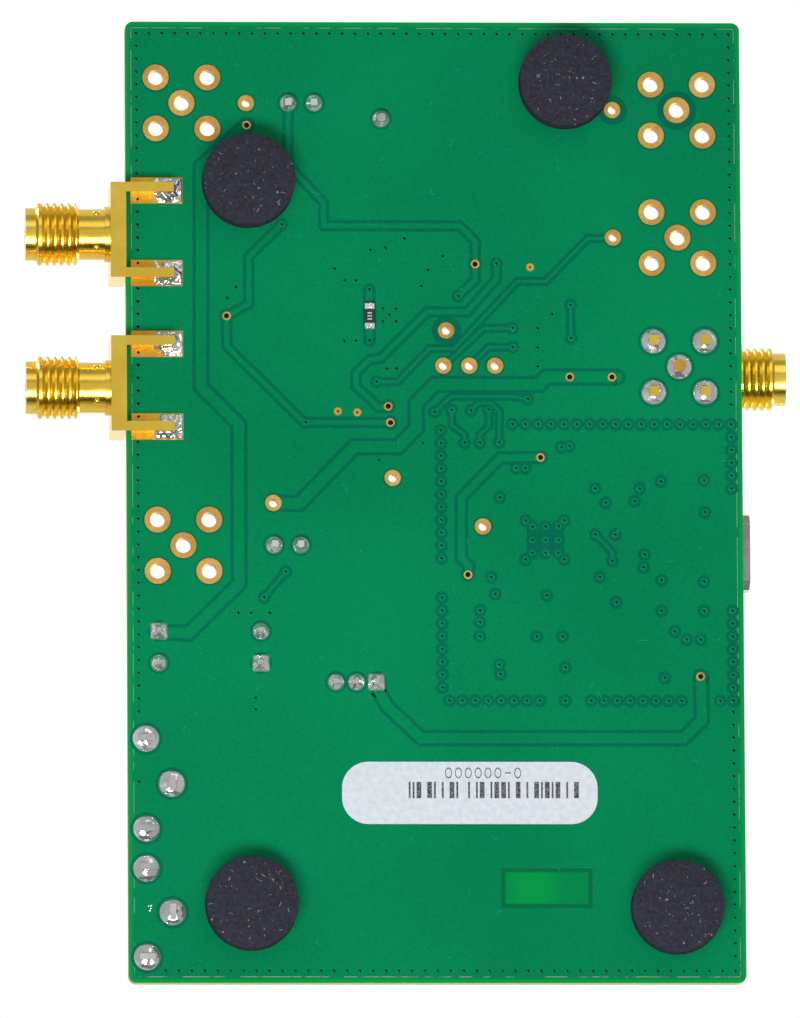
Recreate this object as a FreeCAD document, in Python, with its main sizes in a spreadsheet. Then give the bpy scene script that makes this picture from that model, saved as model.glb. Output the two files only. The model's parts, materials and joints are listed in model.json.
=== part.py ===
import FreeCAD, Part
import os
import re
import Sketcher

# Evaluation board for radio-frequency signals, standing component side up on four rubber feet.
# Frame: +Z up, +Y along the long side, +X towards the two edge-launch output jacks.
# Origin: centre of the bounding box, on the plane the feet stand on.  Millimetres.

doc = FreeCAD.newDocument("evaluation_board")
sheet = doc.addObject("Spreadsheet::Sheet", "Sizes")

DRIVING_SIZES = {
    # bare board and what it stands on
    "board_wide": 60.6, "board_long": 95.25, "board_thick": 1.57, "board_corner": 0.8,
    "foot_radius": 4.55, "foot_tall": 2.8, "foot_edge": 0.3,
    "label_wide": 25.1, "label_long": 6.15, "label_thick": 0.1, "label_corner": 2.6,
    "window_wide": 9.0, "window_long": 3.95, "window_deep": 0.05,
    # plated holes and lands
    "plating": 0.06, "land_thick": 0.05,
    "spare_pitch": 5.08, "spare_bore": 0.75, "spare_land": 1.28,
    "test_bore": 0.42, "test_land": 0.8, "via_bore": 0.16, "via_land": 0.42,
    # edge-launch jack
    "output_pitch": 15.24, "flange_thick": 1.53, "flange_wide": 9.45, "flange_below": 1.6,
    "flange_tall": 7.0, "leg_long": 4.7, "leg_wide": 0.95, "jack_pin": 0.38, "pin_long": 2.6,
    "neck_radius": 2.5, "neck_long": 2.55, "neck_collar": 0.5, "thread_radius": 3.1,
    "thread_long": 4.25, "thread_pitch": 0.706, "thread_deep": 0.36,
    "thread_bevel": 0.25, "groove_share": 0.42, "pilot_radius": 2.6,
    "pilot_long": 1.0, "jack_bore": 2.05, "contact_radius": 0.63, "socket_radius": 0.47,
    "socket_deep": 2.6, "edge_land_wide": 2.6, "edge_land_long": 5.1, "edge_land_gap": 0.5,
    "edge_solder_thick": 0.55, "solder_margin": 0.05, "land_shift": 0.15, "tail_margin": 0.4,
    # right-angle reference jack
    "cube_wide": 6.5, "cube_axis": 7.4, "cube_above": 3.3, "cube_foot": 0.3, "post_side": 0.95,
    "reference_reach": 11.0, "reference_thread": 5.6, "reference_pilot": 1.15, "cap_thick": 0.7,
    "down_bore_radius": 1.8,
    # receptacle for the control cable
    "usb_wide": 7.5, "usb_tall": 2.6, "usb_deep": 5.6, "usb_past_edge": 0.8, "usb_wall": 0.3,
    "usb_bevel": 0.9, "tongue_wide": 3.8, "tongue_tall": 0.7, "tongue_block": 1.6,
    "tongue_back": 1.2, "usb_lead_wide": 0.25, "usb_lead_thick": 0.12, "usb_lead_pitch": 0.65,
    "strip_setback": 0.4, "usb_foot": 0.9,
    # power sockets
    "socket_pitch": 12.7, "socket_wide": 10.0, "socket_tall": 10.4, "socket_long": 17.5,
    "socket_inset": 0.85, "socket_plug": 2.0, "sleeve_wall": 0.6, "sleeve_long": 14.0,
    "sleeve_inset": 1.6, "tab_side": 4.45, "tab_front": 1.0, "tab_back": 3.5, "tab_wide": 1.5,
    "tab_thick": 0.6, "tab_above": 6.0, "mouth_margin": 0.5,
    # headers, shunts
    "pin_pitch": 2.54, "pin_side": 0.64, "pin_above": 5.6, "pin_below": 1.0, "base_tall": 2.5,
    "base_deep": 2.45, "shunt_wide": 4.95, "shunt_deep": 2.4, "shunt_tall": 6.2, "shunt_wall": 0.35,
    "clip_tall": 4.6, "clip_grip": 0.02, "clip_wall": 0.25, "shunt_window": 1.2, "shunt_roof": 0.5,
    # slide switch
    "switch_pitch": 2.0, "switch_long": 8.6, "switch_deep": 3.7, "switch_tall": 3.6,
    "switch_wall": 0.3, "switch_base": 0.8, "switch_travel": 2.0, "lever_long": 1.8,
    "lever_deep": 1.3, "lever_above": 2.6, "carriage_long": 4.6, "carriage_tall": 1.3,
    "bridge_thick": 0.2, "terminal_side": 0.5, "terminal_stub": 0.6, "slide_gap": 0.05,
    # radial capacitors, test point
    "can_radius": 2.5, "can_tall": 7.0, "can_wall": 0.25, "seal_tall": 1.2, "lead_pitch": 3.2,
    "lead_radius": 0.25, "can_bead": 0.25, "point_radius": 0.4, "loop_wire": 0.36, "bead_radius": 1.3,
    "bead_tall": 1.3, "loop_radius": 1.05,
    # solder joints
    "small_gap": 0.18, "joint_peak": 0.4, "small_joint": 0.85, "small_joint_tall": 0.75, "lead_hole": 0.4,
    "large_hole": 0.85, "large_joint": 1.3, "large_joint_tall": 0.8,
    # flat chips
    "controller_side": 8.0, "controller_pitch": 0.5, "synth_side": 5.0, "chip_tall": 0.8,
    "lead_thick": 0.12, "lead_wide": 0.25, "lead_run": 0.6, "lead_past": 0.2,
    "small_chip_wide": 3.0, "small_chip_long": 4.0, "small_chip_tall": 1.1, "small_pitch": 0.95,
    "crystal_wide": 3.2, "crystal_long": 5.0, "crystal_tall": 1.2,
    "passive_long": 1.6, "passive_wide": 0.85, "passive_tall": 0.7, "passive_end": 0.3,
    "underside_chip_long": 2.5, "underside_chip_wide": 0.93, "underside_chip_tall": 0.6,
    "underside_chip_end": 0.55,
}

# Where each piece stands: which long edge it is laid out from and how far in, then the same
# for the short edges.  "mid" counts from the centre line instead.
LAYOUT = {
    "spare_a": ("east", 5.55, "north", 8.1), "spare_b": ("west", 6.25, "north", 8.7),
    "spare_c": ("west", 6.25, "north", 21.4), "spare_d": ("east", 5.55, "mid", -4.4),
    "output_jack_a": ("east", 0.0, "mid", 26.7), "reference_jack": ("west", 6.15, "mid", 13.4),
    "usb": ("west", 0.0, "mid", -4.75), "socket_b": ("east", 0.85, "south", 6.95),
    "foot_1": ("west", 17.3, "north", 6.1), "foot_2": ("east", 12.05, "north", 16.0),
    "foot_3": ("east", 12.05, "south", 7.7), "foot_4": ("west", 6.8, "south", 7.3),
    "label": ("mid", -3.25, "south", 18.75), "window": ("mid", -10.75, "south", 9.4),
    "jumper_a": ("east", 17.3, "north", 8.1), "jumper_b": ("east", 15.8, "mid", -4.35),
    "power_switch": ("mid", 7.85, "south", 29.7), "test_point": ("mid", 5.1, "north", 9.65),
    "capacitor_a": ("east", 3.1, "mid", -14.45), "capacitor_b": ("east", 13.1, "mid", -14.45),
    "controller": ("mid", -10.85, "mid", -3.85), "synth": ("mid", 4.4, "mid", 18.5),
    "underside_chip": ("mid", 6.35, "mid", 18.3),
}
TEST_HOLES = {
    "hole_1": ("east", 11.9, "north", 8.1), "hole_2": ("west", 12.6, "north", 8.7),
    "hole_3": ("west", 12.6, "north", 21.4), "hole_4": ("mid", -1.2, "mid", 16.95),
    "hole_5": ("mid", -0.9, "mid", 13.45), "hole_6": ("mid", -3.45, "mid", 13.45),
    "hole_7": ("mid", -6.0, "mid", 13.45), "hole_8": ("mid", 4.15, "mid", 2.3),
    "hole_9": ("mid", 15.9, "mid", -0.2), "hole_10": ("mid", -4.7, "mid", -2.5),
}
TRACE_VIAS = {
    "via_1": ("mid", 20.4, "mid", 18.35), "via_2": ("mid", -4.1, "mid", 23.55),
    "via_3": ("mid", 4.55, "mid", 9.4), "via_4": ("mid", -10.4, "mid", 4.35),
    "via_5": ("mid", -3.2, "mid", -7.3), "via_6": ("west", 4.3, "mid", -17.35),
    "via_7": ("mid", -13.35, "mid", 12.35), "via_8": ("mid", -17.5, "mid", 12.35),
    "via_9": ("mid", 4.35, "mid", 7.8), "via_10": ("east", 11.95, "north", 10.3),
}
SMALL_CHIPS = {
    "memory_chip": ("mid", -2.6, "mid", -12.5), "regulator_1": ("mid", 12.2, "mid", 24.8),
    "regulator_2": ("mid", 17.5, "mid", 24.8), "regulator_3": ("mid", 0.5, "mid", -19.5),
}
METAL_CANS = {
    "crystal": ("mid", -11.0, "mid", -12.6), "reference_oscillator": ("mid", -12.5, "mid", 13.4),
}
PASSIVES = {
    "passive_1": ("mid", 9.2, "mid", 20.6), "passive_2": ("mid", 9.2, "mid", 18.9),
    "passive_3": ("mid", 9.2, "mid", 17.2), "passive_4": ("mid", 9.2, "mid", 15.5),
    "passive_5": ("mid", -0.4, "mid", 21.6), "passive_6": ("mid", -0.4, "mid", 19.9),
    "passive_7": ("mid", 2.6, "mid", 23.6), "passive_8": ("mid", 6.0, "mid", 23.6),
    "passive_9": ("mid", 12.6, "mid", 20.6), "passive_10": ("mid", 12.6, "mid", 18.9),
    "passive_11": ("mid", -18.0, "mid", 0.4), "passive_12": ("mid", -18.0, "mid", -1.7),
    "passive_13": ("mid", -18.0, "mid", -7.5), "passive_14": ("mid", -18.0, "mid", -9.6),
    "passive_15": ("mid", -7.2, "mid", -10.6), "passive_16": ("mid", -14.8, "mid", -10.6),
    "passive_17": ("mid", 12.2, "mid", 29.6), "passive_18": ("mid", 17.5, "mid", 29.6),
    "passive_19": ("mid", -3.3, "mid", 3.0), "passive_20": ("mid", -16.9, "mid", 5.0),
    "passive_21": ("mid", 4.6, "mid", -21.8), "passive_22": ("mid", -3.6, "mid", -19.5),
    "passive_23": ("mid", 3.4, "mid", -3.2), "passive_24": ("mid", 3.4, "mid", -5.3),
}
LIGHTS = {"light_1": ("mid", 19.5, "mid", 34.6), "light_2": ("west", 5.0, "mid", -16.0)}

ALL_PLACES = {}
for table in (LAYOUT, TEST_HOLES, TRACE_VIAS, SMALL_CHIPS, METAL_CANS, PASSIVES, LIGHTS):
    ALL_PLACES.update(table)


def fill_sheet():
    """Writes every driving size and every layout distance as a named cell."""
    cells = dict(DRIVING_SIZES)
    for name, (_, across, _, along) in ALL_PLACES.items():
        cells[name + "_across"] = across
        cells[name + "_along"] = along
    for row, (alias, value) in enumerate(cells.items(), start=1):
        sheet.set(f"A{row}", alias)
        sheet.set(f"B{row}", str(value))
        sheet.setAlias(f"B{row}", alias)
    doc.recompute()


def formula(text):
    """Turns plain names such as board_wide into references to the sheet's cells."""
    return re.sub(r"\b[a-z]\w*", r"Sizes.\g<0>", text)


def number(text):
    return float(sheet.evalExpression(formula(text)))


def bind(item, **sizes):
    for name, text in sizes.items():
        item.setExpression(name, formula(text))


def move(item, x="0", y="0", z="0"):
    for axis, text in zip("xyz", (x, y, z)):
        item.setExpression("Placement.Base." + axis, formula(text))


EDGE_LINES = {
    "east": "board_wide / 2 - {}", "west": "-board_wide / 2 + {}", "mid": "{}",
    "north": "board_long / 2 - {}", "south": "-board_long / 2 + {}",
}
# Half the difference between the two overhangs centres the box of the whole object on X.
OUTPUT_REACH = "(flange_thick + neck_collar + neck_long + thread_long + pilot_long)"
REFERENCE_OVERHANG = "(reference_reach - reference_jack_across)"
CENTRE_X = f"(({REFERENCE_OVERHANG}) - {OUTPUT_REACH}) / 2"
UNDERSIDE = "foot_tall"
TOP = "(foot_tall + board_thick)"
SMALL_BORE = "(pin_side / 2 + small_gap)"


def board_place(name):
    """X and Y formulas of a layout place, from the board's centre."""
    side, _, end, _ = ALL_PLACES[name]
    across = EDGE_LINES[side].format(name + "_across")
    along = EDGE_LINES[end].format(name + "_along")
    return f"({across})", f"({along})"


def place(name):
    """X and Y formulas of a layout place in the object's frame."""
    across, along = board_place(name)
    return f"({across} + {CENTRE_X})", along


# ---- primitives with bound sizes -----------------------------------------------------------

def block(name, wide, long, tall, x="0", y="0", z="0"):
    """Box centred on x and y, standing on z."""
    box = doc.addObject("Part::Box", name)
    bind(box, Length=wide, Width=long, Height=tall)
    move(box, f"{x} - ({wide}) / 2", f"{y} - ({long}) / 2", z)
    return box


def rod(name, radius, length, x="0", y="0", z="0", along="z"):
    """Cylinder that starts at x, y, z and runs along an axis."""
    cylinder = doc.addObject("Part::Cylinder", name)
    turns = {"z": (FreeCAD.Vector(0, 0, 1), 0), "x": (FreeCAD.Vector(0, 1, 0), 90)}
    axis, angle = turns[along]
    cylinder.Placement = FreeCAD.Placement(FreeCAD.Vector(), FreeCAD.Rotation(axis, angle))
    bind(cylinder, Radius=radius, Height=length)
    move(cylinder, x, y, z)
    return cylinder


def cut(name, base, tool):
    result = doc.addObject("Part::Cut", name)
    result.Base = base
    result.Tool = tool
    return result


def fuse(name, shapes):
    result = doc.addObject("Part::MultiFuse", name)
    result.Shapes = shapes
    result.Refine = True
    return result


def group(name, shapes):
    result = doc.addObject("Part::Compound", name)
    result.Links = shapes
    return result


def copy_at(master, name, x="0", y="0", z="0", turn=0):
    link = doc.addObject("App::Link", name)
    link.LinkedObject = master
    link.LinkTransform = True
    link.Placement = FreeCAD.Placement(FreeCAD.Vector(), FreeCAD.Rotation(FreeCAD.Vector(0, 0, 1), turn))
    move(link, x, y, z)
    return link


# ---- bodies with sketches and features -----------------------------------------------------

def plane_of(body, role):
    return [item for item in body.Origin.OriginFeatures if item.Role == role][0]


def sketch_on(body, name, role="XY_Plane", offset=None):
    sketch = body.newObject("Sketcher::SketchObject", name)
    sketch.AttachmentSupport = [(plane_of(body, role), "")]
    sketch.MapMode = "FlatFace"
    if offset:
        sketch.setExpression("AttachmentOffset.Base.z", formula(offset))
    return sketch


def hold(sketch, kind, *where, name, text):
    """Adds one named dimension and binds it to its formula."""
    index = sketch.addConstraint(Sketcher.Constraint(kind, *where, number(text)))
    sketch.renameConstraint(index, name)
    sketch.setExpression("Constraints." + name, formula(text))


def outline(sketch, corners):
    """Closed outline through corners, each given as a pair of formulas."""
    points = [FreeCAD.Vector(number(x), number(y), 0) for x, y in corners]
    first = sketch.GeometryCount
    for start, end in zip(points, points[1:] + points[:1]):
        sketch.addGeometry(Part.LineSegment(start, end), False)
    for step, (x, y) in enumerate(corners):
        line = first + step
        following = first + (step + 1) % len(corners)
        sketch.addConstraint(Sketcher.Constraint("Coincident", line, 2, following, 1))
        if x == "0":
            sketch.addConstraint(Sketcher.Constraint("PointOnObject", line, 1, -2))
        else:
            hold(sketch, "DistanceX", -1, 1, line, 1, name=f"x{line}", text=x)
        if y == "0":
            sketch.addConstraint(Sketcher.Constraint("PointOnObject", line, 1, -1))
        else:
            hold(sketch, "DistanceY", -1, 1, line, 1, name=f"y{line}", text=y)


def rectangle(sketch, wide, long, x="0", y="0"):
    west, east = f"{x} - ({wide}) / 2", f"{x} + ({wide}) / 2"
    south, north = f"{y} - ({long}) / 2", f"{y} + ({long}) / 2"
    outline(sketch, [(west, south), (east, south), (east, north), (west, north)])


def circle(sketch, radius, x="0", y="0"):
    centre = FreeCAD.Vector(number(x), number(y), 0)
    ring = sketch.addGeometry(Part.Circle(centre, FreeCAD.Vector(0, 0, 1), number(radius)), False)
    hold(sketch, "Radius", ring, name=f"radius{ring}", text=radius)
    if x == "0" and y == "0":
        sketch.addConstraint(Sketcher.Constraint("Coincident", ring, 3, -1, 1))
    else:
        hold(sketch, "DistanceX", -1, 1, ring, 3, name=f"x{ring}", text=x)
        hold(sketch, "DistanceY", -1, 1, ring, 3, name=f"y{ring}", text=y)


def feature(body, kind, name, sketch, reverse=False, **sizes):
    item = body.newObject("PartDesign::" + kind, name)
    item.Profile = sketch
    item.Reversed = reverse
    bind(item, **sizes)
    body.Tip = item
    return item


def through_pocket(body, name, sketch):
    """Pocket cut right through the solid on both sides of its sketch."""
    item = feature(body, "Pocket", name, sketch)
    item.Type = "ThroughAll"
    item.SideType = "Symmetric"
    return item


def turned(body, name, sketch, kind="Revolution", axis="H_Axis"):
    """Full turn of a half outline about the sketch's own axis."""
    item = body.newObject("PartDesign::" + kind, name)
    item.Profile = sketch
    item.ReferenceAxis = (sketch, [axis])
    item.Angle = 360
    body.Tip = item
    return item


def soften(body, name, kind, size, pick):
    """Fillet or chamfer on the edges of the tip that pick accepts."""
    doc.recompute()
    base = body.Tip
    edges = [f"Edge{n}" for n, edge in enumerate(base.Shape.Edges, start=1) if pick(edge)]
    item = body.newObject("PartDesign::" + kind, name)
    item.Base = (base, edges)
    bind(item, **{"Radius" if kind == "Fillet" else "Size": size})
    body.Tip = item
    return item


def is_upright(edge):
    box = edge.BoundBox
    return box.XLength < 1e-6 and box.YLength < 1e-6


def is_at_height(height):
    def test(edge):
        box = edge.BoundBox
        return abs(box.ZMin - height) < 1e-6 and abs(box.ZMax - height) < 1e-6
    return test


sub_parts = []


def finish(item, name):
    """Names a finished sub-part and lists it for export."""
    item.Label = name
    sub_parts.append(item)
    return item


def seat(item, name, spot, shared=False):
    """Places a piece drawn about its own origin; a piece that also cuts others is wrapped first."""
    whole = group(name + "_seated", [item]) if shared else item
    move(whole, *spot)
    return finish(whole, name)


# ---- where holes and pins go ---------------------------------------------------------------

def spare_holes(name):
    """Four corner holes of a coaxial footprint and the one in their middle."""
    x, y = board_place(name)
    half = "spare_pitch / 2"
    corners = [(f"{x} {i} {half}", f"{y} {j} {half}") for i in "+-" for j in "+-"]
    return corners + [(x, y)]


def pair(name, pitch, count=2, along="x"):
    """Row of pins centred on a layout place, from the low end to the high end."""
    x, y = board_place(name)
    steps = [step - (count - 1) / 2 for step in range(count)]
    if along == "x":
        return [(f"{x} + {step} * {pitch}", y) for step in steps]
    return [(x, f"{y} + {step} * {pitch}") for step in steps]


def socket_place(row):
    """Front middle of a power socket; row 0 is the one nearer the corner."""
    x, y = board_place("socket_b")
    return x, f"({y} + {row} * socket_pitch)"


def tab_places(row):
    x, y = socket_place(row)
    sides = [(f"{x} - tab_front", f"{y} {sign} tab_side") for sign in "+-"]
    return sides + [(f"{x} - tab_back", y)]


SPARE_NAMES = ("spare_a", "spare_b", "spare_c", "spare_d")
spare_spots = [spot for name in SPARE_NAMES for spot in spare_holes(name)]
test_spots = [board_place(name) for name in TEST_HOLES]
via_spots = [board_place(name) for name in TRACE_VIAS]
jumper_spots = pair("jumper_a", "pin_pitch") + pair("jumper_b", "pin_pitch")
switch_spots = pair("power_switch", "switch_pitch", count=3)
lead_spots = pair("capacitor_a", "lead_pitch", along="y") + pair("capacitor_b", "lead_pitch", along="y")
small_spots = jumper_spots + switch_spots + lead_spots + [board_place("test_point")]
reference_spots = spare_holes("reference_jack")
tab_spots = tab_places(0) + tab_places(1)
large_spots = reference_spots + tab_spots


# ---- the board and what is plated or stuck on it -------------------------------------------

def circuit_board():
    """Glass laminate drilled for every footprint, with a shallow bare window underneath."""
    body = doc.addObject("PartDesign::Body", "board_body")
    sketch = sketch_on(body, "board_outline")
    rectangle(sketch, "board_wide", "board_long")
    feature(body, "Pad", "board_sheet", sketch, Length="board_thick")
    soften(body, "board_corners", "Fillet", "board_corner", is_upright)
    families = (
        ("spare", spare_spots, "spare_bore + plating"), ("test", test_spots, "test_bore + plating"),
        ("via", via_spots, "via_bore + plating"), ("small", small_spots, SMALL_BORE),
        ("large", large_spots, "large_hole"),
    )
    for family, spots, radius in families:
        sketch = sketch_on(body, family + "_hole_sketch")
        for x, y in spots:
            circle(sketch, radius, x, y)
        through_pocket(body, family + "_drilling", sketch)
    sketch = sketch_on(body, "window_sketch")
    rectangle(sketch, "window_wide", "window_long", *board_place("window"))
    feature(body, "Pocket", "window", sketch, reverse=True, Length="window_deep")
    return seat(body, "circuit_board", (CENTRE_X, "0", UNDERSIDE))


def barrels(name, spots, bore, land):
    """Plated barrels: a tube through the board with a land on each face."""
    tube = rod(name + "_tube", f"{bore} + plating", "board_thick")
    lower = rod(name + "_lower_land", land, "land_thick", z="-land_thick")
    upper = rod(name + "_upper_land", land, "land_thick", z="board_thick")
    solid = fuse(name + "_solid", [tube, lower, upper])
    hole = rod(name + "_hole", bore, "board_thick + 2 * land_thick", z="-land_thick")
    one = cut(name + "_one", solid, hole)
    copies = [copy_at(one, f"{name}_{n}", x, y) for n, (x, y) in enumerate(spots)]
    whole = group(name + "_set", copies)
    move(whole, CENTRE_X, "0", UNDERSIDE)
    return finish(whole, name)


def rubber_feet():
    """Four stick-on discs with a slightly eased lower rim."""
    body = doc.addObject("PartDesign::Body", "foot_body")
    sketch = sketch_on(body, "foot_outline")
    circle(sketch, "foot_radius")
    feature(body, "Pad", "foot_disc", sketch, Length="foot_tall")
    soften(body, "foot_rim", "Fillet", "foot_edge", is_at_height(0))
    copies = [copy_at(body, f"foot_copy_{n}", *place(f"foot_{n}")) for n in range(1, 5)]
    return finish(group("foot_set", copies), "rubber_feet")


def part_label():
    body = doc.addObject("PartDesign::Body", "label_body")
    sketch = sketch_on(body, "label_outline")
    rectangle(sketch, "label_wide", "label_long")
    feature(body, "Pad", "label_sheet", sketch, Length="label_thick")
    soften(body, "label_corners", "Fillet", "label_corner", is_upright)
    return seat(body, "part_label", (*place("label"), f"{UNDERSIDE} - label_thick"))


# ---- edge-launch output jacks --------------------------------------------------------------

AXIS_ABOVE_UNDERSIDE = "(board_thick + land_thick + jack_pin)"


def barrel_profile(sketch, start, neck, thread, pilot, sign=""):
    """Half outline of a jack barrel: collar, neck, thread and plain pilot around the bore."""
    neck_end = f"({start} + {neck})"
    thread_end = f"({neck_end} + {thread})"
    end = f"({thread_end} + {pilot})"
    collar = "neck_radius + thread_bevel"
    corners = [("0", "jack_bore"), ("0", collar), (start, collar), (start, "neck_radius"),
               (neck_end, "neck_radius"), (f"({neck_end} + thread_bevel)", "thread_radius"),
               (f"({thread_end} - thread_bevel)", "thread_radius"), (thread_end, "pilot_radius"),
               (end, "pilot_radius"), (end, "jack_bore")]
    outline(sketch, [(f"{sign}{x}" if x != "0" else x, y) for x, y in corners])
    return neck_end


def thread_grooves(body, neck_end, thread_length, role, reverse=False):
    """Evenly spaced vee grooves that stand for the thread's turns."""
    sketch = sketch_on(body, "groove_sketch", role)
    half = "thread_pitch * groove_share"
    sign = "-" if reverse else ""
    first = f"({neck_end} + thread_bevel + thread_pitch / 2)"
    root, crest = "thread_radius - thread_deep", "thread_radius + thread_deep / 8"
    points = [(f"{first} - {half}", crest), (first, root), (f"{first} + {half}", crest)]
    outline(sketch, [(f"{sign}({x})", y) for x, y in points])
    groove = turned(body, "first_groove", sketch, kind="Groove")
    pattern = body.newObject("PartDesign::LinearPattern", "groove_pattern")
    pattern.Originals = [groove]
    pattern.Direction = (plane_of(body, "X_Axis"), [""])
    pattern.Reversed = reverse
    pattern.Mode = "Spacing"
    turns = int(number(f"({thread_length} - 2 * thread_bevel) / thread_pitch"))
    pattern.Occurrences = turns
    bind(pattern, Offset="thread_pitch")
    body.Tip = pattern


def output_jack_body(name):
    """Gold-plated brass: flange with four legs that straddle the board, neck, thread, pilot."""
    body = doc.addObject("PartDesign::Body", name)
    sketch = sketch_on(body, "barrel_sketch", "XZ_Plane")
    start = "(flange_thick + neck_collar)"
    neck_end = barrel_profile(sketch, start, "neck_long", "thread_long", "pilot_long")
    turned(body, "barrel", sketch)
    thread_grooves(body, neck_end, "thread_long", "XZ_Plane")
    under_land = f"(-{AXIS_ABOVE_UNDERSIDE} - land_thick)"
    over_land = "(-jack_pin)"
    bottom = f"({under_land} - flange_below)"
    middle = f"({bottom} + flange_tall / 2)"
    sketch = sketch_on(body, "flange_sketch", "YZ_Plane")
    rectangle(sketch, "flange_wide", "flange_tall", "0", middle)
    circle(sketch, "jack_bore")
    feature(body, "Pad", "flange", sketch, Length="flange_thick")
    sketch = sketch_on(body, "leg_sketch", "YZ_Plane")
    leg_y = "(flange_wide / 2 - leg_wide / 2)"
    for sign in ("", "-"):
        rectangle(sketch, "leg_wide", "flange_below", sign + leg_y, f"({under_land} - flange_below / 2)")
        rectangle(sketch, "leg_wide", "flange_below", sign + leg_y, f"({over_land} + flange_below / 2)")
    feature(body, "Pad", "legs", sketch, reverse=True, Length="leg_long")
    return body


def output_jack(letter, y):
    """Edge-launch jack: body, insulator tube and the contact that rests on the board."""
    prefix = f"output_jack_{letter}_"
    spot = (f"board_wide / 2 + {CENTRE_X}", y, f"{UNDERSIDE} + {AXIS_ABOVE_UNDERSIDE}")
    body = seat(output_jack_body(prefix + "shape"), prefix + "body", spot)
    outer = rod(prefix + "filling", "jack_bore", OUTPUT_REACH, along="x")
    inner = rod(prefix + "passage", "contact_radius", OUTPUT_REACH, along="x")
    seat(cut(prefix + "tube", outer, inner), prefix + "insulator", spot)
    core = rod(prefix + "core", "contact_radius", OUTPUT_REACH, along="x")
    tail = rod(prefix + "tail", "jack_pin", "pin_long", x="-pin_long", along="x")
    hollow = rod(prefix + "hollow", "socket_radius", "socket_deep",
                 x=f"{OUTPUT_REACH} - socket_deep", along="x")
    contact = cut(prefix + "pin", fuse(prefix + "stem", [core, tail]), hollow)
    seat(contact, prefix + "contact", spot)
    return body


def edge_spots(rows):
    """Middle of each land under a leg: two beside every jack."""
    leg_y = "(flange_wide / 2 - leg_wide / 2 - land_shift)"
    return [f"{y} {sign} {leg_y}" for y in rows for sign in "+-"]


def edge_jack_lands(rows):
    """Gold lands under and over the legs, and one under each contact's tail."""
    x = "board_wide / 2 - edge_land_gap - edge_land_long / 2"
    lands = []
    for n, y in enumerate(edge_spots(rows)):
        for face, z in (("under", "-land_thick"), ("over", "board_thick")):
            lands.append(block(f"land_{face}_{n}", "edge_land_long", "edge_land_wide", "land_thick",
                               x, y, z))
    for n, y in enumerate(rows):
        lands.append(block(f"signal_land_{n}", "pin_long + tail_margin", "3 * jack_pin", "land_thick",
                           "board_wide / 2 - (pin_long + tail_margin) / 2", y, "board_thick"))
    whole = group("land_set", lands)
    move(whole, CENTRE_X, "0", UNDERSIDE)
    return finish(whole, "edge_jack_lands")


def edge_jack_solder(rows, jacks):
    """Solder that wets the inner half of each land and runs up the legs."""
    x = "board_wide / 2 - edge_land_gap - edge_land_long * 3 / 4 + solder_margin"
    mounds = []
    for n, y in enumerate(edge_spots(rows)):
        for face, z in (("under", "-land_thick - edge_solder_thick"), ("over", "board_thick + land_thick")):
            mounds.append(block(f"mound_{face}_{n}", "edge_land_long / 2",
                                "edge_land_wide - 4 * solder_margin", "edge_solder_thick", x, y, z))
    whole = group("mound_set", mounds)
    move(whole, CENTRE_X, "0", UNDERSIDE)
    return finish(cut("mound_cut", whole, group("jack_tools", jacks)), "edge_jack_solder")


# ---- right-angle reference jack ------------------------------------------------------------

def reference_jack():
    """Cube on four posts with a threaded barrel that leaves over the board's edge."""
    x, y = place("reference_jack")
    spot = (x, y, f"{TOP} + cube_axis")
    body = doc.addObject("PartDesign::Body", "reference_shape")
    sketch = sketch_on(body, "barrel_sketch_r", "XZ_Plane")
    start = "(cube_wide / 2)"
    neck = "(reference_reach - cube_wide / 2 - reference_thread - reference_pilot)"
    neck_end = barrel_profile(sketch, start, neck, "reference_thread", "reference_pilot", "-")
    turned(body, "barrel_r", sketch)
    thread_grooves(body, neck_end, "reference_thread", "XZ_Plane", reverse=True)
    sketch = sketch_on(body, "cube_sketch", "XY_Plane", "-cube_axis + cube_foot")
    rectangle(sketch, "cube_wide", "cube_wide")
    feature(body, "Pad", "cube", sketch, Length="cube_axis - cube_foot + cube_above")
    sketch = sketch_on(body, "post_sketch", "XY_Plane", "-cube_axis + cube_foot")
    for i in ("", "-"):
        for j in ("", "-"):
            rectangle(sketch, "post_side", "post_side", i + "(spare_pitch / 2)", j + "(spare_pitch / 2)")
    feature(body, "Pad", "posts", sketch, reverse=True, Length="cube_foot + board_thick + pin_below")
    sketch = sketch_on(body, "long_bore_sketch", "YZ_Plane")
    circle(sketch, "jack_bore")
    through_pocket(body, "long_bore", sketch)
    sketch = sketch_on(body, "down_bore_sketch", "XY_Plane")
    circle(sketch, "down_bore_radius")
    feature(body, "Pocket", "down_bore", sketch, Length="cube_axis")
    seat(body, "reference_jack_body", spot)
    inner_end = "(cube_wide / 2 - cap_thick)"
    fill_long = rod("fill_long", "jack_bore", f"reference_reach + {inner_end}",
                    x="-reference_reach", along="x")
    fill_down = rod("fill_down", "down_bore_radius", "cube_axis - cube_foot", z="-cube_axis + cube_foot")
    stem_long = rod("stem_long", "contact_radius", "reference_reach + contact_radius",
                    x="-reference_reach", along="x")
    stem_down = rod("stem_down", "contact_radius", "cube_axis + board_thick + pin_below",
                    z="-cube_axis - board_thick - pin_below")
    stem = fuse("stem_r", [stem_long, stem_down])
    seat(cut("insulator_r", fuse("fill_r", [fill_long, fill_down]), stem), "reference_jack_insulator", spot)
    hollow = rod("hollow_r", "socket_radius", "socket_deep", x="-reference_reach", along="x")
    contact = seat(cut("contact_r", stem, hollow), "reference_jack_contact", spot)
    cap = rod("cap_disc", "jack_bore", "cap_thick", x=inner_end, along="x")
    seat(cap, "reference_jack_rear_cap", spot, shared=True)
    return body, contact


# ---- receptacle for the control cable ------------------------------------------------------

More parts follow.
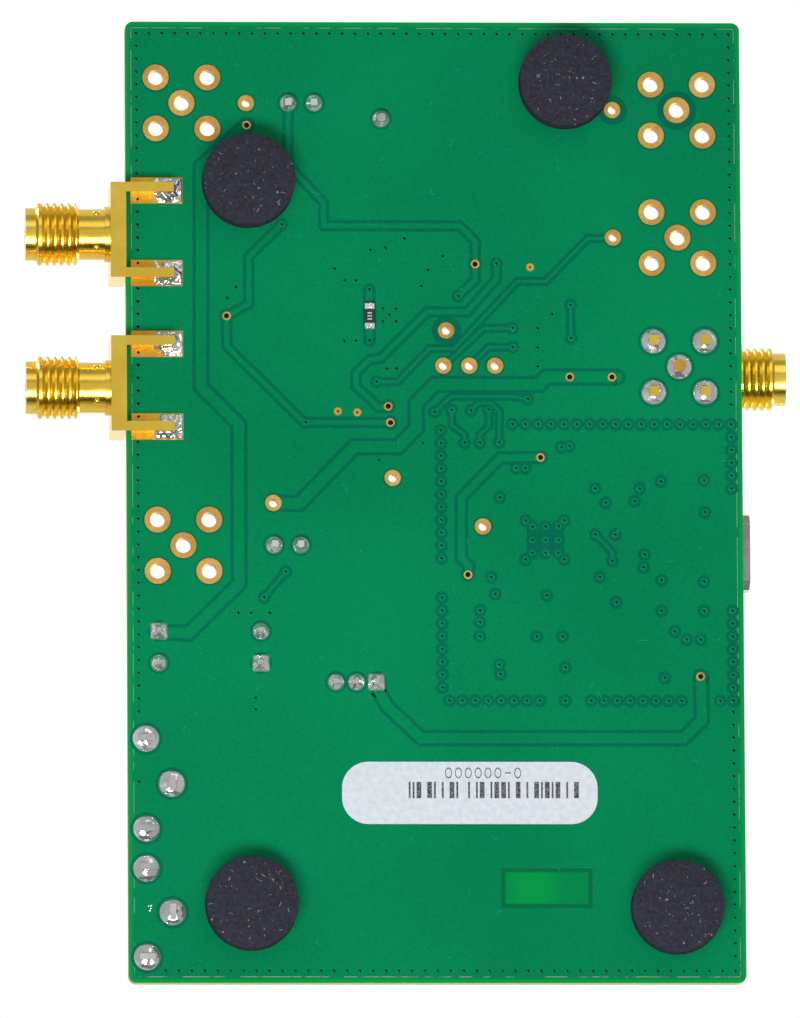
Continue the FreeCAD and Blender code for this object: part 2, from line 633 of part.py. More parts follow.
def usb_outline(sketch, inset):
    """Receptacle outline with its two lower corners bevelled, drawn inset by a wall."""
    half = f"(usb_wide / 2 - {inset})"
    low, high = inset, f"usb_tall - {inset}"
    bevel = f"(usb_bevel - 0.41 * {inset})"
    right = [(f"{half} - {bevel}", low), (half, f"{low} + {bevel}"), (half, high)]
    left = [("-" + half, high), ("-" + half, f"{low} + {bevel}"), (f"-{half} + {bevel}", low)]
    outline(sketch, right + left)


def usb_receptacle():
    """Folded shell, moulded tongue with its block, and five contacts."""
    x, y = place("usb")
    spot = (f"{x} - usb_past_edge", y, TOP)
    shell = doc.addObject("PartDesign::Body", "usb_shell_body")
    sketch = sketch_on(shell, "shell_sketch", "YZ_Plane")
    usb_outline(sketch, "0.001")
    feature(shell, "Pad", "shell_pad", sketch, Length="usb_deep")
    sketch = sketch_on(shell, "shell_inner", "YZ_Plane")
    usb_outline(sketch, "usb_wall")
    through_pocket(shell, "shell_pocket", sketch)
    seat(shell, "usb_shell", spot)
    tongue = doc.addObject("PartDesign::Body", "usb_tongue_body")
    sketch = sketch_on(tongue, "block_sketch", "YZ_Plane", "usb_deep - tongue_block")
    usb_outline(sketch, "usb_wall")
    feature(tongue, "Pad", "block_pad", sketch, Length="tongue_block")
    sketch = sketch_on(tongue, "tongue_sketch", "YZ_Plane", "tongue_back")
    rectangle(sketch, "tongue_wide", "tongue_tall", "0", "usb_tall / 2 + tongue_tall / 2")
    feature(tongue, "Pad", "tongue_pad", sketch, Length="usb_deep - tongue_block - tongue_back + 0.1")
    strips = []
    for n in range(5):
        row = f"({n - 2} * usb_lead_pitch)"
        strip_z = "usb_tall / 2 - usb_lead_thick"
        run = "usb_deep - tongue_back - strip_setback + usb_lead_thick"
        strip = block(f"strip_{n}", run, "usb_lead_wide", "usb_lead_thick",
                      f"tongue_back + strip_setback + ({run}) / 2", row, strip_z)
        leg = block(f"usb_leg_{n}", "usb_lead_thick", "usb_lead_wide", "usb_tall / 2",
                    "usb_deep + usb_lead_thick / 2", row, "0")
        foot = block(f"usb_foot_{n}", "usb_foot", "usb_lead_wide", "usb_lead_thick",
                     "usb_deep + usb_foot / 2", row, "0")
        strips.append(fuse(f"usb_contact_{n}", [strip, leg, foot]))
    contacts = group("usb_contact_set", strips)
    seat(cut("usb_moulding", tongue, contacts), "usb_tongue", spot)
    seat(contacts, "usb_contacts", spot, shared=True)


# ---- power sockets -------------------------------------------------------------------------

def power_socket(row, name):
    """Moulded block around a sprung sleeve whose yoke ends in three tabs."""
    x, y = socket_place(row)
    spot = (f"{x} + {CENTRE_X}", y, TOP)
    axis_z = "(socket_tall / 2)"
    blank = doc.addObject("PartDesign::Body", name + "_blank")
    sketch = sketch_on(blank, name + "_plan")
    rectangle(sketch, "socket_long", "socket_wide", "-socket_long / 2", "0")
    feature(blank, "Pad", name + "_pad", sketch, Length="socket_tall")
    soften(blank, name + "_rim", "Fillet", "foot_edge", is_upright)
    low_end = "-(sleeve_inset + sleeve_long)"
    sleeve = rod(name + "_sleeve", "socket_plug + sleeve_wall", "sleeve_long", low_end, "0", axis_z, "x")
    yoke_wide = "(2 * tab_side + tab_thick)"
    back = block(name + "_back", "tab_thick", yoke_wide, "tab_above", "-tab_back", "0", "0")
    drop = "(board_thick + pin_below)"
    solids = [sleeve, back, block(name + "_rear_tab", "tab_thick", "tab_wide", drop,
                                  "-tab_back", "0", "-" + drop)]
    for side, sign in (("left", ""), ("right", "-")):
        run = "(tab_back - tab_front + tab_wide / 2)"
        edge_y = sign + "tab_side"
        solids.append(block(f"{name}_{side}_cheek", run, "tab_thick", "tab_above",
                            f"-tab_back + {run} / 2", edge_y, "0"))
        solids.append(block(f"{name}_{side}_tab", "tab_wide", "tab_thick", drop,
                            "-tab_front", edge_y, "-" + drop))
    metal = fuse(name + "_metal", solids)
    bore = rod(name + "_bore", "socket_plug", "sleeve_long - sleeve_wall",
               f"{low_end} + sleeve_wall", "0", axis_z, "x")
    mouth = rod(name + "_mouth", "socket_plug + mouth_margin", "sleeve_inset + 0.1", "-sleeve_inset",
                "0", axis_z, "x")
    housing = cut(name + "_housing_cut", cut(name + "_hollowed", blank, metal), mouth)
    seat(housing, name + "_housing", spot)
    return seat(cut(name + "_contact_cut", metal, bore), name + "_contact", spot)


# ---- headers with lift-off shunts ----------------------------------------------------------

def jumper(name):
    """Two square pins in a moulded base, and the shunt that joins them."""
    spot = (*place(name), TOP)
    pins = [block(f"{name}_pin_{n}", "pin_side", "pin_side",
                  "board_thick + pin_below + base_tall + pin_above", f"{step} * pin_pitch", "0",
                  "-board_thick - pin_below") for n, step in enumerate((-0.5, 0.5))]
    pins = group(name + "_pin_set", pins)
    blank = doc.addObject("PartDesign::Body", name + "_base_blank")
    sketch = sketch_on(blank, name + "_base_plan")
    rectangle(sketch, "2 * pin_pitch", "base_deep")
    feature(blank, "Pad", name + "_base_pad", sketch, Length="base_tall")
    soften(blank, name + "_base_chamfer", "Chamfer", "pin_side / 2", is_upright)
    base = cut(name + "_base_cut", blank, pins)
    bottom = "(base_tall + slide_gap)"
    hood = doc.addObject("PartDesign::Body", name + "_cap_blank")
    sketch = sketch_on(hood, name + "_cap_plan", "XY_Plane", bottom)
    rectangle(sketch, "shunt_wide", "shunt_deep")
    feature(hood, "Pad", name + "_cap_pad", sketch, Length="shunt_tall")
    soften(hood, name + "_cap_edges", "Fillet", "slide_gap * 4", is_upright)
    inner = ("shunt_wide - 2 * shunt_wall", "shunt_deep - 2 * shunt_wall")
    sketch = sketch_on(hood, name + "_cavity_plan", "XY_Plane", bottom)
    rectangle(sketch, *inner)
    feature(hood, "Pocket", name + "_cavity", sketch, reverse=True, Length="shunt_tall - shunt_roof")
    sketch = sketch_on(hood, name + "_window_plan", "XY_Plane", bottom)
    rectangle(sketch, "shunt_window", "shunt_window")
    feature(hood, "Pocket", name + "_cap_window", sketch, reverse=True, Length="shunt_tall")
    clip_block = block(name + "_clip_block", *inner, "clip_tall", "0", "0", f"{bottom} + shunt_roof")
    sockets = [block(f"{name}_grip_{n}", "pin_side + 2 * clip_grip", "pin_side + 2 * clip_grip",
                     "clip_tall", f"{step} * pin_pitch", "0", f"{bottom} + shunt_roof")
               for n, step in enumerate((-0.5, 0.5))]
    clip = cut(name + "_clip_cut", clip_block, group(name + "_grips", sockets))
    seat(base, name + "_base", spot)
    seat(hood, name + "_shunt_cap", spot)
    seat(clip, name + "_shunt_clip", spot)
    return seat(pins, name + "_pins", spot, shared=True)


# ---- slide switch --------------------------------------------------------------------------

def power_switch():
    """Base with three terminals, folded cover, and a lever that carries the bridging contact."""
    spot = (*place("power_switch"), TOP)
    inner = ("switch_long - 2 * switch_wall", "switch_deep - 2 * switch_wall")
    terminals = group("terminal_set", [
        block(f"terminal_{n}", "terminal_side", "terminal_side",
              "board_thick + pin_below + switch_base + terminal_stub",
              f"{n - 1} * switch_pitch", "0", "-board_thick - pin_below") for n in range(3)])
    base = cut("switch_base_cut", block("switch_base_block", *inner, "switch_base"), terminals)
    outer = block("cover_outer", "switch_long", "switch_deep", "switch_tall")
    hollow = block("cover_hollow", *inner, "switch_tall - switch_wall")
    slot = block("cover_slot", "lever_long + switch_travel + 4 * slide_gap", "lever_deep + 4 * slide_gap",
                 "switch_tall")
    cover = cut("cover_cut", outer, fuse("cover_space", [hollow, slot]))
    rest_x = "(-switch_travel / 2)"
    ceiling = "(switch_tall - switch_wall - slide_gap)"
    carriage = block("carriage", "carriage_long", "switch_deep - 2 * switch_wall - 4 * slide_gap",
                     "carriage_tall", rest_x, "0", f"{ceiling} - carriage_tall")
    lever = block("lever", "lever_long", "lever_deep", "switch_wall + slide_gap + lever_above",
                  rest_x, "0", ceiling)
    slider = fuse("slider_shape", [carriage, lever])
    stub_top = "(switch_base + terminal_stub + slide_gap)"
    bridge = group("bridge_set", [block(
        "bridge_strip", "switch_pitch + terminal_side", "lever_deep",
        f"{ceiling} - carriage_tall - {stub_top}", rest_x, "0", stub_top)])
    for item, end in ((base, "base"), (cover, "cover"), (slider, "slider"), (bridge, "bridge")):
        seat(item, "power_switch_" + end, spot)
    return seat(terminals, "power_switch_terminals", spot, shared=True)


# ---- radial capacitors and the test point --------------------------------------------------

def radial_capacitor(name):
    """Aluminium can with a rolled bead, rubber seal and two leads."""
    spot = (*place(name), TOP)
    leads = group(name + "_lead_set", [
        rod(f"{name}_lead_{n}", "lead_radius", "board_thick + pin_below + seal_tall",
            "0", f"{step} * lead_pitch", "-board_thick - pin_below")
        for n, step in enumerate((-0.5, 0.5))])
    inner = "(can_radius - can_wall)"
    seal = cut(name + "_seal_cut", rod(name + "_seal_disc", inner, "seal_tall"), leads)
    can = doc.addObject("PartDesign::Body", name + "_can_body")
    sketch = sketch_on(can, name + "_profile", "XZ_Plane")
    bead = "(seal_tall + 0.6)"
    outline(sketch, [
        (inner, "0.05"), ("can_radius", "0.05"), ("can_radius", f"{bead} - 0.4"),
        ("can_radius - can_bead", bead), ("can_radius", f"{bead} + 0.4"),
        ("can_radius", "can_tall - 0.4"), ("can_radius - 0.4", "can_tall"), ("0", "can_tall"),
        ("0", "seal_tall"), (inner, "seal_tall")])
    turned(can, name + "_turned", sketch, axis="V_Axis")
    seat(can, name + "_can", spot)
    seat(seal, name + "_seal", spot)
    return seat(leads, name + "_leads", spot, shared=True)


def test_point():
    """Wire loop on one pin, standing in a coloured bead."""
    spot = (*place("test_point"), TOP)
    pin = rod("point_pin", "point_radius", "board_thick + pin_below + bead_tall + point_radius",
              z="-board_thick - pin_below")
    loop = doc.addObject("Part::Torus", "point_loop")
    loop.Placement.Rotation = FreeCAD.Rotation(FreeCAD.Vector(1, 0, 0), 90)
    bind(loop, Radius1="loop_radius", Radius2="loop_wire")
    move(loop, "0", "0", "bead_tall + point_radius + loop_radius")
    wire = fuse("point_wire", [pin, loop])
    bead = cut("point_bead_cut", rod("point_bead", "bead_radius", "bead_tall"), wire)
    seat(bead, "test_point_bead", spot)
    return seat(wire, "test_point_loop", spot, shared=True)


# ---- solder joints -------------------------------------------------------------------------

def solder_joints(name, spots, hole, joint, tall, pins):
    """Fillet under the board and the solder that fills each hole, less the pins."""
    plug = rod(name + "_plug", hole, "board_thick")
    cone = doc.addObject("Part::Cone", name + "_cone")
    bind(cone, Radius1=joint + " * joint_peak", Radius2=joint, Height=tall)
    move(cone, z="-" + tall)
    one = fuse(name + "_one", [plug, cone])
    whole = group(name + "_set", [copy_at(one, f"{name}_{n}", x, y) for n, (x, y) in enumerate(spots)])
    move(whole, CENTRE_X, "0", UNDERSIDE)
    return finish(cut(name + "_cut", whole, group(name + "_pins", pins)), name)


# ---- parts soldered flat on the top side ---------------------------------------------------

def chip_leads(name, side, pitch, count, sides, depth):
    """Row of flat leads under one edge, repeated round the package, and a heat pad."""
    body = doc.addObject("PartDesign::Body", name)
    lead = body.newObject("PartDesign::AdditiveBox", name + "_lead")
    bind(lead, Length="lead_wide", Width="lead_run", Height="lead_thick")
    move(lead, f"-({count - 1}) * {pitch} / 2 - lead_wide / 2", f"-{depth} / 2 - lead_past", "0")
    doc.recompute()
    ring = body.newObject("PartDesign::MultiTransform", name + "_ring")
    ring.Originals = [lead]
    row = doc.addObject("PartDesign::LinearPattern", name + "_row")
    row.Direction = (plane_of(body, "X_Axis"), [""])
    row.Mode = "Spacing"
    row.Occurrences = count
    bind(row, Offset=pitch)
    turn = doc.addObject("PartDesign::PolarPattern", name + "_turn")
    turn.Axis = (plane_of(body, "Z_Axis"), [""])
    turn.Angle = 360
    turn.Occurrences = sides
    ring.Transformations = [row, turn]
    body.Tip = ring
    doc.recompute()
    pad = body.newObject("PartDesign::AdditiveBox", name + "_heat_pad")
    pad_side = f"({side} * 0.55)"
    bind(pad, Length=pad_side, Width=pad_side, Height="lead_thick")
    move(pad, f"-{pad_side} / 2", f"-{pad_side} / 2", "0")
    body.Tip = pad
    return body


def chip_package(name, wide, long, tall):
    body = doc.addObject("PartDesign::Body", name)
    sketch = sketch_on(body, name + "_plan", "XY_Plane", "lead_thick")
    rectangle(sketch, wide, long)
    feature(body, "Pad", name + "_pad", sketch, Length=tall)
    soften(body, name + "_edges", "Chamfer", "lead_thick", is_upright)
    return body


def square_chip(spot, name, side, pitch, count):
    package = chip_package(name + "_package", side, side, "chip_tall")
    leads = chip_leads(name + "_frame", side, pitch, count, 4, side)
    seat(package, name + "_body", (*place(spot), TOP))
    seat(leads, name + "_leads", (*place(spot), TOP))


def copies_on_top(master, tag, names, turn_alternate=False):
    links = []
    for n, name in enumerate(names):
        turn = 90 if turn_alternate and n % 2 else 0
        links.append(copy_at(master, f"{tag}_{n}", *place(name), TOP, turn))
    return links


def small_chips():
    """Memory and three regulators in one size of package, with six leads each."""
    package = chip_package("small_package", "small_chip_wide", "small_chip_long", "small_chip_tall")
    leads = chip_leads("small_frame", "small_chip_wide * 3 / 5", "small_pitch", 3, 2, "small_chip_long")
    finish(group("small_package_set", copies_on_top(package, "package", SMALL_CHIPS)), "small_chip_bodies")
    finish(group("small_frame_set", copies_on_top(leads, "frame", SMALL_CHIPS)), "small_chip_leads")
    can = chip_package("metal_can", "crystal_wide", "crystal_long", "crystal_tall")
    finish(group("metal_can_set", copies_on_top(can, "can", METAL_CANS)), "crystal_cans")


def passives():
    """Chip capacitors and resistors, indicator lights, and their plated ends."""
    middle = "(passive_long - 2 * passive_end)"
    core = block("passive_core", middle, "passive_wide", "passive_tall")
    ends = [block("passive_end_" + side, "passive_end", "passive_wide", "passive_tall",
                  f"{sign}({middle} / 2 + passive_end / 2)") for side, sign in (("low", "-"), ("high", ""))]
    ends = group("passive_end_pair", ends)
    names = list(PASSIVES)
    finish(group("core_set", copies_on_top(core, "core", names, True)), "passive_bodies")
    finish(group("light_set", copies_on_top(core, "light", LIGHTS)), "indicator_lights")
    wide, long = "underside_chip_wide", "underside_chip_long"
    x, y = place("underside_chip")
    low = f"{UNDERSIDE} - underside_chip_tall"
    bare = f"({long} - 2 * underside_chip_end)"
    finish(group("underside_core", [block("underside_block", wide, bare, "underside_chip_tall", x, y, low)]),
           "underside_resistor")
    tips = [block(f"underside_end_{n}", wide, "underside_chip_end", "underside_chip_tall", x,
                  f"{y} {sign} ({bare} + underside_chip_end) / 2", low) for n, sign in enumerate("+-")]
    end_links = copies_on_top(ends, "ends", names, True) + copies_on_top(ends, "light_ends", LIGHTS)
    finish(group("end_set", end_links + tips), "passive_ends")


# ---- the whole board -----------------------------------------------------------------------

def build():
    fill_sheet()
    circuit_board()
    barrels("spare_jack_holes", spare_spots, "spare_bore", "spare_land")
    barrels("test_holes", test_spots, "test_bore", "test_land")
    barrels("trace_vias", via_spots, "via_bore", "via_land")
    rubber_feet()
    part_label()
    _, row_a = board_place("output_jack_a")
    rows = [row_a, f"({row_a} - output_pitch)"]
    jacks = [output_jack(letter, row) for letter, row in zip("ab", rows)]
    edge_jack_lands(rows)
    edge_jack_solder(rows, jacks)
    large_pins = list(reference_jack())
    usb_receptacle()
    large_pins.append(power_socket(0, "power_socket_negative"))
    large_pins.append(power_socket(1, "power_socket_positive"))
    small_pins = [jumper("jumper_a"), jumper("jumper_b"), power_switch(),
                  radial_capacitor("capacitor_a"), radial_capacitor("capacitor_b"), test_point()]
    solder_joints("small_solder_joints", small_spots, SMALL_BORE, "small_joint",
                  "small_joint_tall", small_pins)
    solder_joints("large_solder_joints", large_spots, "large_hole", "large_joint",
                  "large_joint_tall", large_pins)
    square_chip("controller", "controller_chip", "controller_side", "controller_pitch", 14)
    square_chip("synth", "synthesizer_chip", "synth_side", "controller_pitch", 8)
    small_chips()
    passives()
    doc.recompute()


def check_and_export():
    faults = [f"{item.Label}: {item.State}" for item in doc.Objects
              if "Invalid" in item.State or "Error" in item.State]
    for item in sub_parts:
        if item.Shape.isNull() or not item.Shape.isValid() or not item.Shape.Solids:
            faults.append(f"{item.Label}: bad shape")
    if faults:
        raise RuntimeError("; ".join(faults))
    os.makedirs("parts", exist_ok=True)
    for item in sub_parts:
        item.Shape.exportStep(f"parts/{item.Label}.step")
        print(item.Label, len(item.Shape.Solids), round(item.Shape.Volume, 3))


build()
check_and_export()
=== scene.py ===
import json
import math
import random

import bmesh
import bpy
from mathutils import Euler, Matrix, Vector, noise

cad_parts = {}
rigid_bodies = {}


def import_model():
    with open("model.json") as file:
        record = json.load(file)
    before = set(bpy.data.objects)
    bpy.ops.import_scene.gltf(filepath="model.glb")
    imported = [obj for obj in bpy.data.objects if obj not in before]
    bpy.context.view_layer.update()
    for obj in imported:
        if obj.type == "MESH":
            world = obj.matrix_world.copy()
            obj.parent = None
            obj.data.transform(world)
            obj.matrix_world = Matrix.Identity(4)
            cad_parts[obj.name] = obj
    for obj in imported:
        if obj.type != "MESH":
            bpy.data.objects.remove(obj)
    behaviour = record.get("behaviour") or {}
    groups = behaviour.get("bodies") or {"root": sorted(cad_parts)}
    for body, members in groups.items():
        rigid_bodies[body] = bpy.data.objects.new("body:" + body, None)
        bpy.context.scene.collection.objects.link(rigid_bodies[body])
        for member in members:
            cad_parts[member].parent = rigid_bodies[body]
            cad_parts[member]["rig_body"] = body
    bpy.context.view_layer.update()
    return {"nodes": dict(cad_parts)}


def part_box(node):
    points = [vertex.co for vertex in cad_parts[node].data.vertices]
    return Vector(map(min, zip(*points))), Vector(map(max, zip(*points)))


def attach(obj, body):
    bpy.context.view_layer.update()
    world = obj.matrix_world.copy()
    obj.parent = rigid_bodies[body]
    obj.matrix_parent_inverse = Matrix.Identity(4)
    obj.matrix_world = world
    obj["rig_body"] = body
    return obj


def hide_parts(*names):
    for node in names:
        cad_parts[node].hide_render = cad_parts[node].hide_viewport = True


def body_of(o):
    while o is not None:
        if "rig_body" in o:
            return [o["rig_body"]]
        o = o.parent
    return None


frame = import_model()

# ----------------------------------------
# The circuit board: glass-fibre laminate with copper on both faces under a green solder mask.
# It is cut from a panel, so its edges show the bare laminate, and the copper stops short of them.
MM = 0.001
board_low, board_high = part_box("circuit_board")
board_middle = (board_low + board_high) / 2
board_half = (board_high - board_low) / 2
COPPER_SETBACK = 0.5 * MM


class Wire:
    """One output of a material's nodes. Sums and products of wires add Math nodes."""

    def __init__(self, tree, socket):
        self.tree = tree
        self.socket = socket

    def node(self, kind, settings=None, inputs=None, output=0):
        """Adds a node: its settings come first, then the values or wires of its sockets."""
        made = self.tree.nodes.new("ShaderNode" + kind)
        for name, value in (settings or {}).items():
            setattr(made, name, value)
        for name, value in (inputs or {}).items():
            if isinstance(value, Wire):
                self.tree.links.new(value.socket, made.inputs[name])
            else:
                made.inputs[name].default_value = value
        return Wire(self.tree, made.outputs[output])

    def maths(self, operation, first, second=0.0):
        return self.node("Math", {"operation": operation}, {0: first, 1: second})

    def __add__(self, other):
        return self.maths("ADD", self, other)

    def __radd__(self, other):
        return self.maths("ADD", other, self)

    def __sub__(self, other):
        return self.maths("SUBTRACT", self, other)

    def __rsub__(self, other):
        return self.maths("SUBTRACT", other, self)

    def __mul__(self, other):
        return self.maths("MULTIPLY", self, other)

    def __rmul__(self, other):
        return self.maths("MULTIPLY", other, self)

    def __abs__(self):
        return self.maths("ABSOLUTE", self)

    def larger(self, other):
        """The larger of two values, which joins two masks."""
        return self.maths("MAXIMUM", self, other)

    def between(self, low, high):
        """0 below low, 1 above high, and a smooth rise from one to the other."""
        settings = {"interpolation_type": "SMOOTHSTEP"}
        return self.node("MapRange", settings, {0: self, 1: low, 2: high, 3: 0.0, 4: 1.0})

    def axis(self, index):
        """One coordinate of a place or a direction: 0 is x, 1 is y and 2 is z."""
        return self.node("SeparateXYZ", None, {0: self}, index)

    def noise(self, scale, detail=2.0, roughness=0.5):
        inputs = {"Vector": self, "Scale": scale, "Detail": detail, "Roughness": roughness}
        return self.node("TexNoise", None, inputs)

    def cells(self, scale):
        """The distance to the middle of the nearest of many scattered cells."""
        return self.node("TexVoronoi", None, {"Vector": self, "Scale": scale})

    def mix(self, first, second):
        """The first colour where this wire is 0, and the second where it is 1."""
        return self.node("Mix", {"data_type": "RGBA"}, {0: self, 6: first, 7: second}, output=2)


def tint(red, green, blue):
    """A colour as read off a colour card, 0 to 255 a channel, made linear."""
    parts = [value / 255 for value in (red, green, blue)]
    parts = [p / 12.92 if p <= 0.04045 else ((p + 0.055) / 1.055) ** 2.4 for p in parts]
    return (*parts, 1.0)


class Finish:
    """One material: a Principled shader, and the wire of the object's own coordinates to start from."""

    def __init__(self, name, **settings):
        self.material = bpy.data.materials.new(name)
        self.material.use_nodes = True
        self.tree = self.material.node_tree
        self.shader = self.tree.nodes["Principled BSDF"]
        for socket, value in settings.items():
            self.shader.inputs[socket.replace("_", " ")].default_value = value
        self.place = Wire(self.tree, self.tree.nodes.new("ShaderNodeTexCoord").outputs["Object"])

    def feed(self, socket, wire):
        """Links a wire to a socket of the shader."""
        self.tree.links.new(wire.socket, self.shader.inputs[socket])

    def fed(self, socket):
        """The wire that feeds a socket so far."""
        return Wire(self.tree, self.shader.inputs[socket].links[0].from_socket)

    def bump(self, height, depth):
        """Bends the surface's normal by a height, where 1 stands for that depth in metres."""
        self.feed("Normal", height.node("Bump", None, {"Height": height, "Distance": depth}))


def dress(names, finish):
    """Gives CAD nodes a material."""
    for name in names:
        node = frame["nodes"][name]
        node.data.materials.clear()
        node.data.materials.append(finish.material)


def mask_finish(name, low_colour, high_colour):
    """Solder mask over copper or over laminate: fine grain, slow drift in shade, and a soft gloss."""
    finish = Finish(name, Roughness=0.42, Specular_IOR_Level=0.04)
    drift = finish.place.noise(35.0, 3.0)
    grain = finish.place.noise(5200.0, 1.0)
    shade = (drift * 0.6 + grain * 0.4).between(0.3, 0.7)
    finish.feed("Base Color", shade.mix(low_colour, high_colour))
    finish.feed("Roughness", 0.3 + grain * 0.2)
    finish.bump(finish.place.noise(900.0, 3.0) + grain * 0.4, 0.004 * MM)
    return finish


MASK_LOW = tint(0, 117, 73)
MASK_HIGH = tint(0, 133, 83)
MARGIN_COLOUR = tint(10, 150, 62)
LAMINATE_PALE = tint(196, 190, 118)
LAMINATE_DEEP = tint(120, 150, 70)

board_finish = mask_finish("mask_over_copper", MASK_LOW, MASK_HIGH)
board_x = board_finish.place.axis(0)
board_y = board_finish.place.axis(1)
from_side = abs(board_x - board_middle.x) - (board_half.x - COPPER_SETBACK)
from_end = abs(board_y - board_middle.y) - (board_half.y - COPPER_SETBACK)
margin = from_side.larger(from_end).between(-0.02 * MM, 0.25 * MM)
with_margin = (margin * 0.7).mix(board_finish.fed("Base Color"), MARGIN_COLOUR)
normal = Wire(board_finish.tree, board_finish.tree.nodes.new("ShaderNodeNewGeometry").outputs["Normal"])
upright = abs(normal.axis(2))
weave_inputs = {"Vector": board_finish.place, "Scale": 2200.0, "Distortion": 3.0}
weave = board_finish.place.node("TexWave", {"bands_direction": "Z"}, weave_inputs)
strands = board_finish.place.noise(2600.0, 2.0)
laminate = (weave * 0.5 + strands * 0.5).mix(LAMINATE_DEEP, LAMINATE_PALE)
board_finish.feed("Base Color", upright.between(0.4, 0.6).mix(laminate, with_margin))
dress(["circuit_board"], board_finish)


def spot(x, y, z):
    """A place: x and y are in millimetres from the board's middle, and the height z is in metres."""
    return Vector((board_middle.x + x * MM, board_middle.y + y * MM, z))


def piece(name, shape, finish, body="board", smooth=True, nodes=()):
    """Turns a finished bmesh into a named piece on a body, in place of the CAD nodes it stands for."""
    mesh = bpy.data.meshes.new(name)
    shape.to_mesh(mesh)
    shape.free()
    for face in mesh.polygons:
        face.use_smooth = smooth
    made = bpy.data.objects.new(name, mesh)
    made.data.materials.append(finish.material)
    bpy.context.scene.collection.objects.link(made)
    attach(made, body)
    if nodes:
        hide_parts(*nodes)
    return made


# ----------------------------------------
# The copper pattern on the underside, as it shows through the mask: tracks with a clearance line on
# each side, where the mask lies on bare laminate and looks darker. All of it is etched from one foil.
# Each layer has a level of its own, in skins out from the board's face, and what crosses within a
# layer is a small step apart, so that no two faces lie in one plane.
SKIN = 0.004 * MM
FOIL = 0.02 * MM
TRACK_STEP = 0.1
CLEARANCE = 0.32
UNDER = board_low.z
OVER = board_high.z
TRACKS = [
    (1.05, [(27.2, -13), (24.25, -13.1), (19.3, -8.2), (19.25, 7.6), (22.95, 11.3), (22.85, 33.2),
            (18.35, 37.3)]),
    (0.5, [(14.25, 39.15), (14.3, 33.4), (10.85, 29.7), (10.8, 27.35), (-2.6, 27.35), (-4.1, 25.85),
           (-4.1, 22.0), (-2.4, 20.35)]),
    (0.5, [(14.95, 27.45), (18.2, 24.25), (18.2, 19.55), (20.4, 18.35), (20.4, 15.35), (12.85, 7.8),
           (4.35, 7.8)]),
    (0.5, [(-6.2, 23.6), (-6.2, 22.1), (-3.3, 18.8), (0.65, 18.8), (5.3, 14.15), (6.35, 14.05), (7.7, 12.7),
           (7.7, 11.4), (5.5, 9.3), (4.55, 9.4)]),
    (0.3, [(5.7, 11.85), (3.6, 11.85), (0.45, 15.15), (-2.0, 15.15), (-8.25, 21.85), (-11.05, 21.85),
           (-15.25, 26.15), (-17.05, 26.15)]),
    (0.3, [(-1.4, 13.9), (-4.9, 17.15), (-7.75, 17.2)]),
    (0.3, [(-3.95, 13.93), (-5.4, 15.3), (-7.75, 15.3)]),
    (1.1, [(15.15, -0.22), (13.35, -0.25), (7.9, 5.4), (3.6, 5.4), (1.8, 7.25), (1.8, 9.7), (-0.05, 11.6),
           (-10.4, 11.6), (-11.05, 12.35), (-18.0, 12.35)]),
    (0.25, [(0, 8.85), (-1.65, 10.4), (-7.65, 10.4), (-9.2, 10.15)]),
    (0.25, [(-1.7, 9.05), (-1.7, 7.55), (-2.95, 6.6), (-2.95, 5.8)]),
    (0.25, [(-3.6, 9.0), (-4.3, 9.75), (-5.55, 9.75), (-6.4, 8.95), (-6.35, 5.85)]),
    (0.25, [(-5.35, 9.1), (-5.35, 7.45), (-4.45, 6.6), (-4.45, 5.8)]),
    (0.7, [(-10.4, 4.35), (-6.45, 4.3), (-2.6, 0.35), (-2.55, -5.65), (-3.3, -6.4), (-3.2, -7.25)]),
    (0.3, [(-15.75, -3.3), (-17.4, -5.0), (-17.4, -5.9)]),
    (0.3, [(-13.45, 19.5), (-13.5, 16.2)]),
    (0.62, [(6.35, 21.0), (6.35, 15.9)]),
    (1.0, [(5.7, -18.7), (4.75, -20.4), (1.5, -23.45), (-24.3, -23.45), (-26.1, -21.65), (-26.05, -17.35)]),
    (0.3, [(14.7, -7.0), (16.85, -9.55)]),
]


def below(skins):
    """The height that many skins out from the underside."""
    return UNDER - SKIN * skins


def above(skins):
    """The height that many skins out from the upper face."""
    return OVER + SKIN * skins


def vertices_in(geometry):
    """The vertices among what an operator made."""
    return [item for item in geometry if isinstance(item, bmesh.types.BMVert)]


def face_outwards(shape):
    """Turns every face of a closed shape outwards."""
    bmesh.ops.recalc_face_normals(shape, faces=shape.faces[:])


def strip(shape, route, width, height):
    """A flat band of that width in millimetres along a route, mitred at its bends."""
    centres = [spot(x, y, height) for x, y in route]
    edge = None
    for index, here in enumerate(centres):
        back = here - centres[index - 1] if index else centres[1] - here
        ahead = centres[index + 1] - here if index + 1 < len(centres) else back
        along = (back.normalized() + ahead.normalized()).normalized()
        reach = width * MM / 2 / along.dot(ahead.normalized())
        pair = [here + Vector((-along.y, along.x, 0)) * side * reach for side in (1, -1)]
        if edge is None:
            edge = shape.edges.new([shape.verts.new(corner) for corner in pair])
        else:
            grown = bmesh.ops.extrude_edge_only(shape, edges=[edge])["geom"]
            corners = vertices_in(grown)
            for old, new in zip(before, pair):
                nearest = min(corners, key=lambda corner: (corner.co - old).length)
                corners.remove(nearest)
                nearest.co = new
            edge = [item for item in grown if isinstance(item, bmesh.types.BMEdge)][0]
        before = pair


def disc(shape, x, y, radius, height, sides=16):
    """A flat disc."""
    at = Matrix.Translation(spot(x, y, height))
    bmesh.ops.create_circle(shape, cap_ends=True, segments=sides, radius=radius * MM, matrix=at)


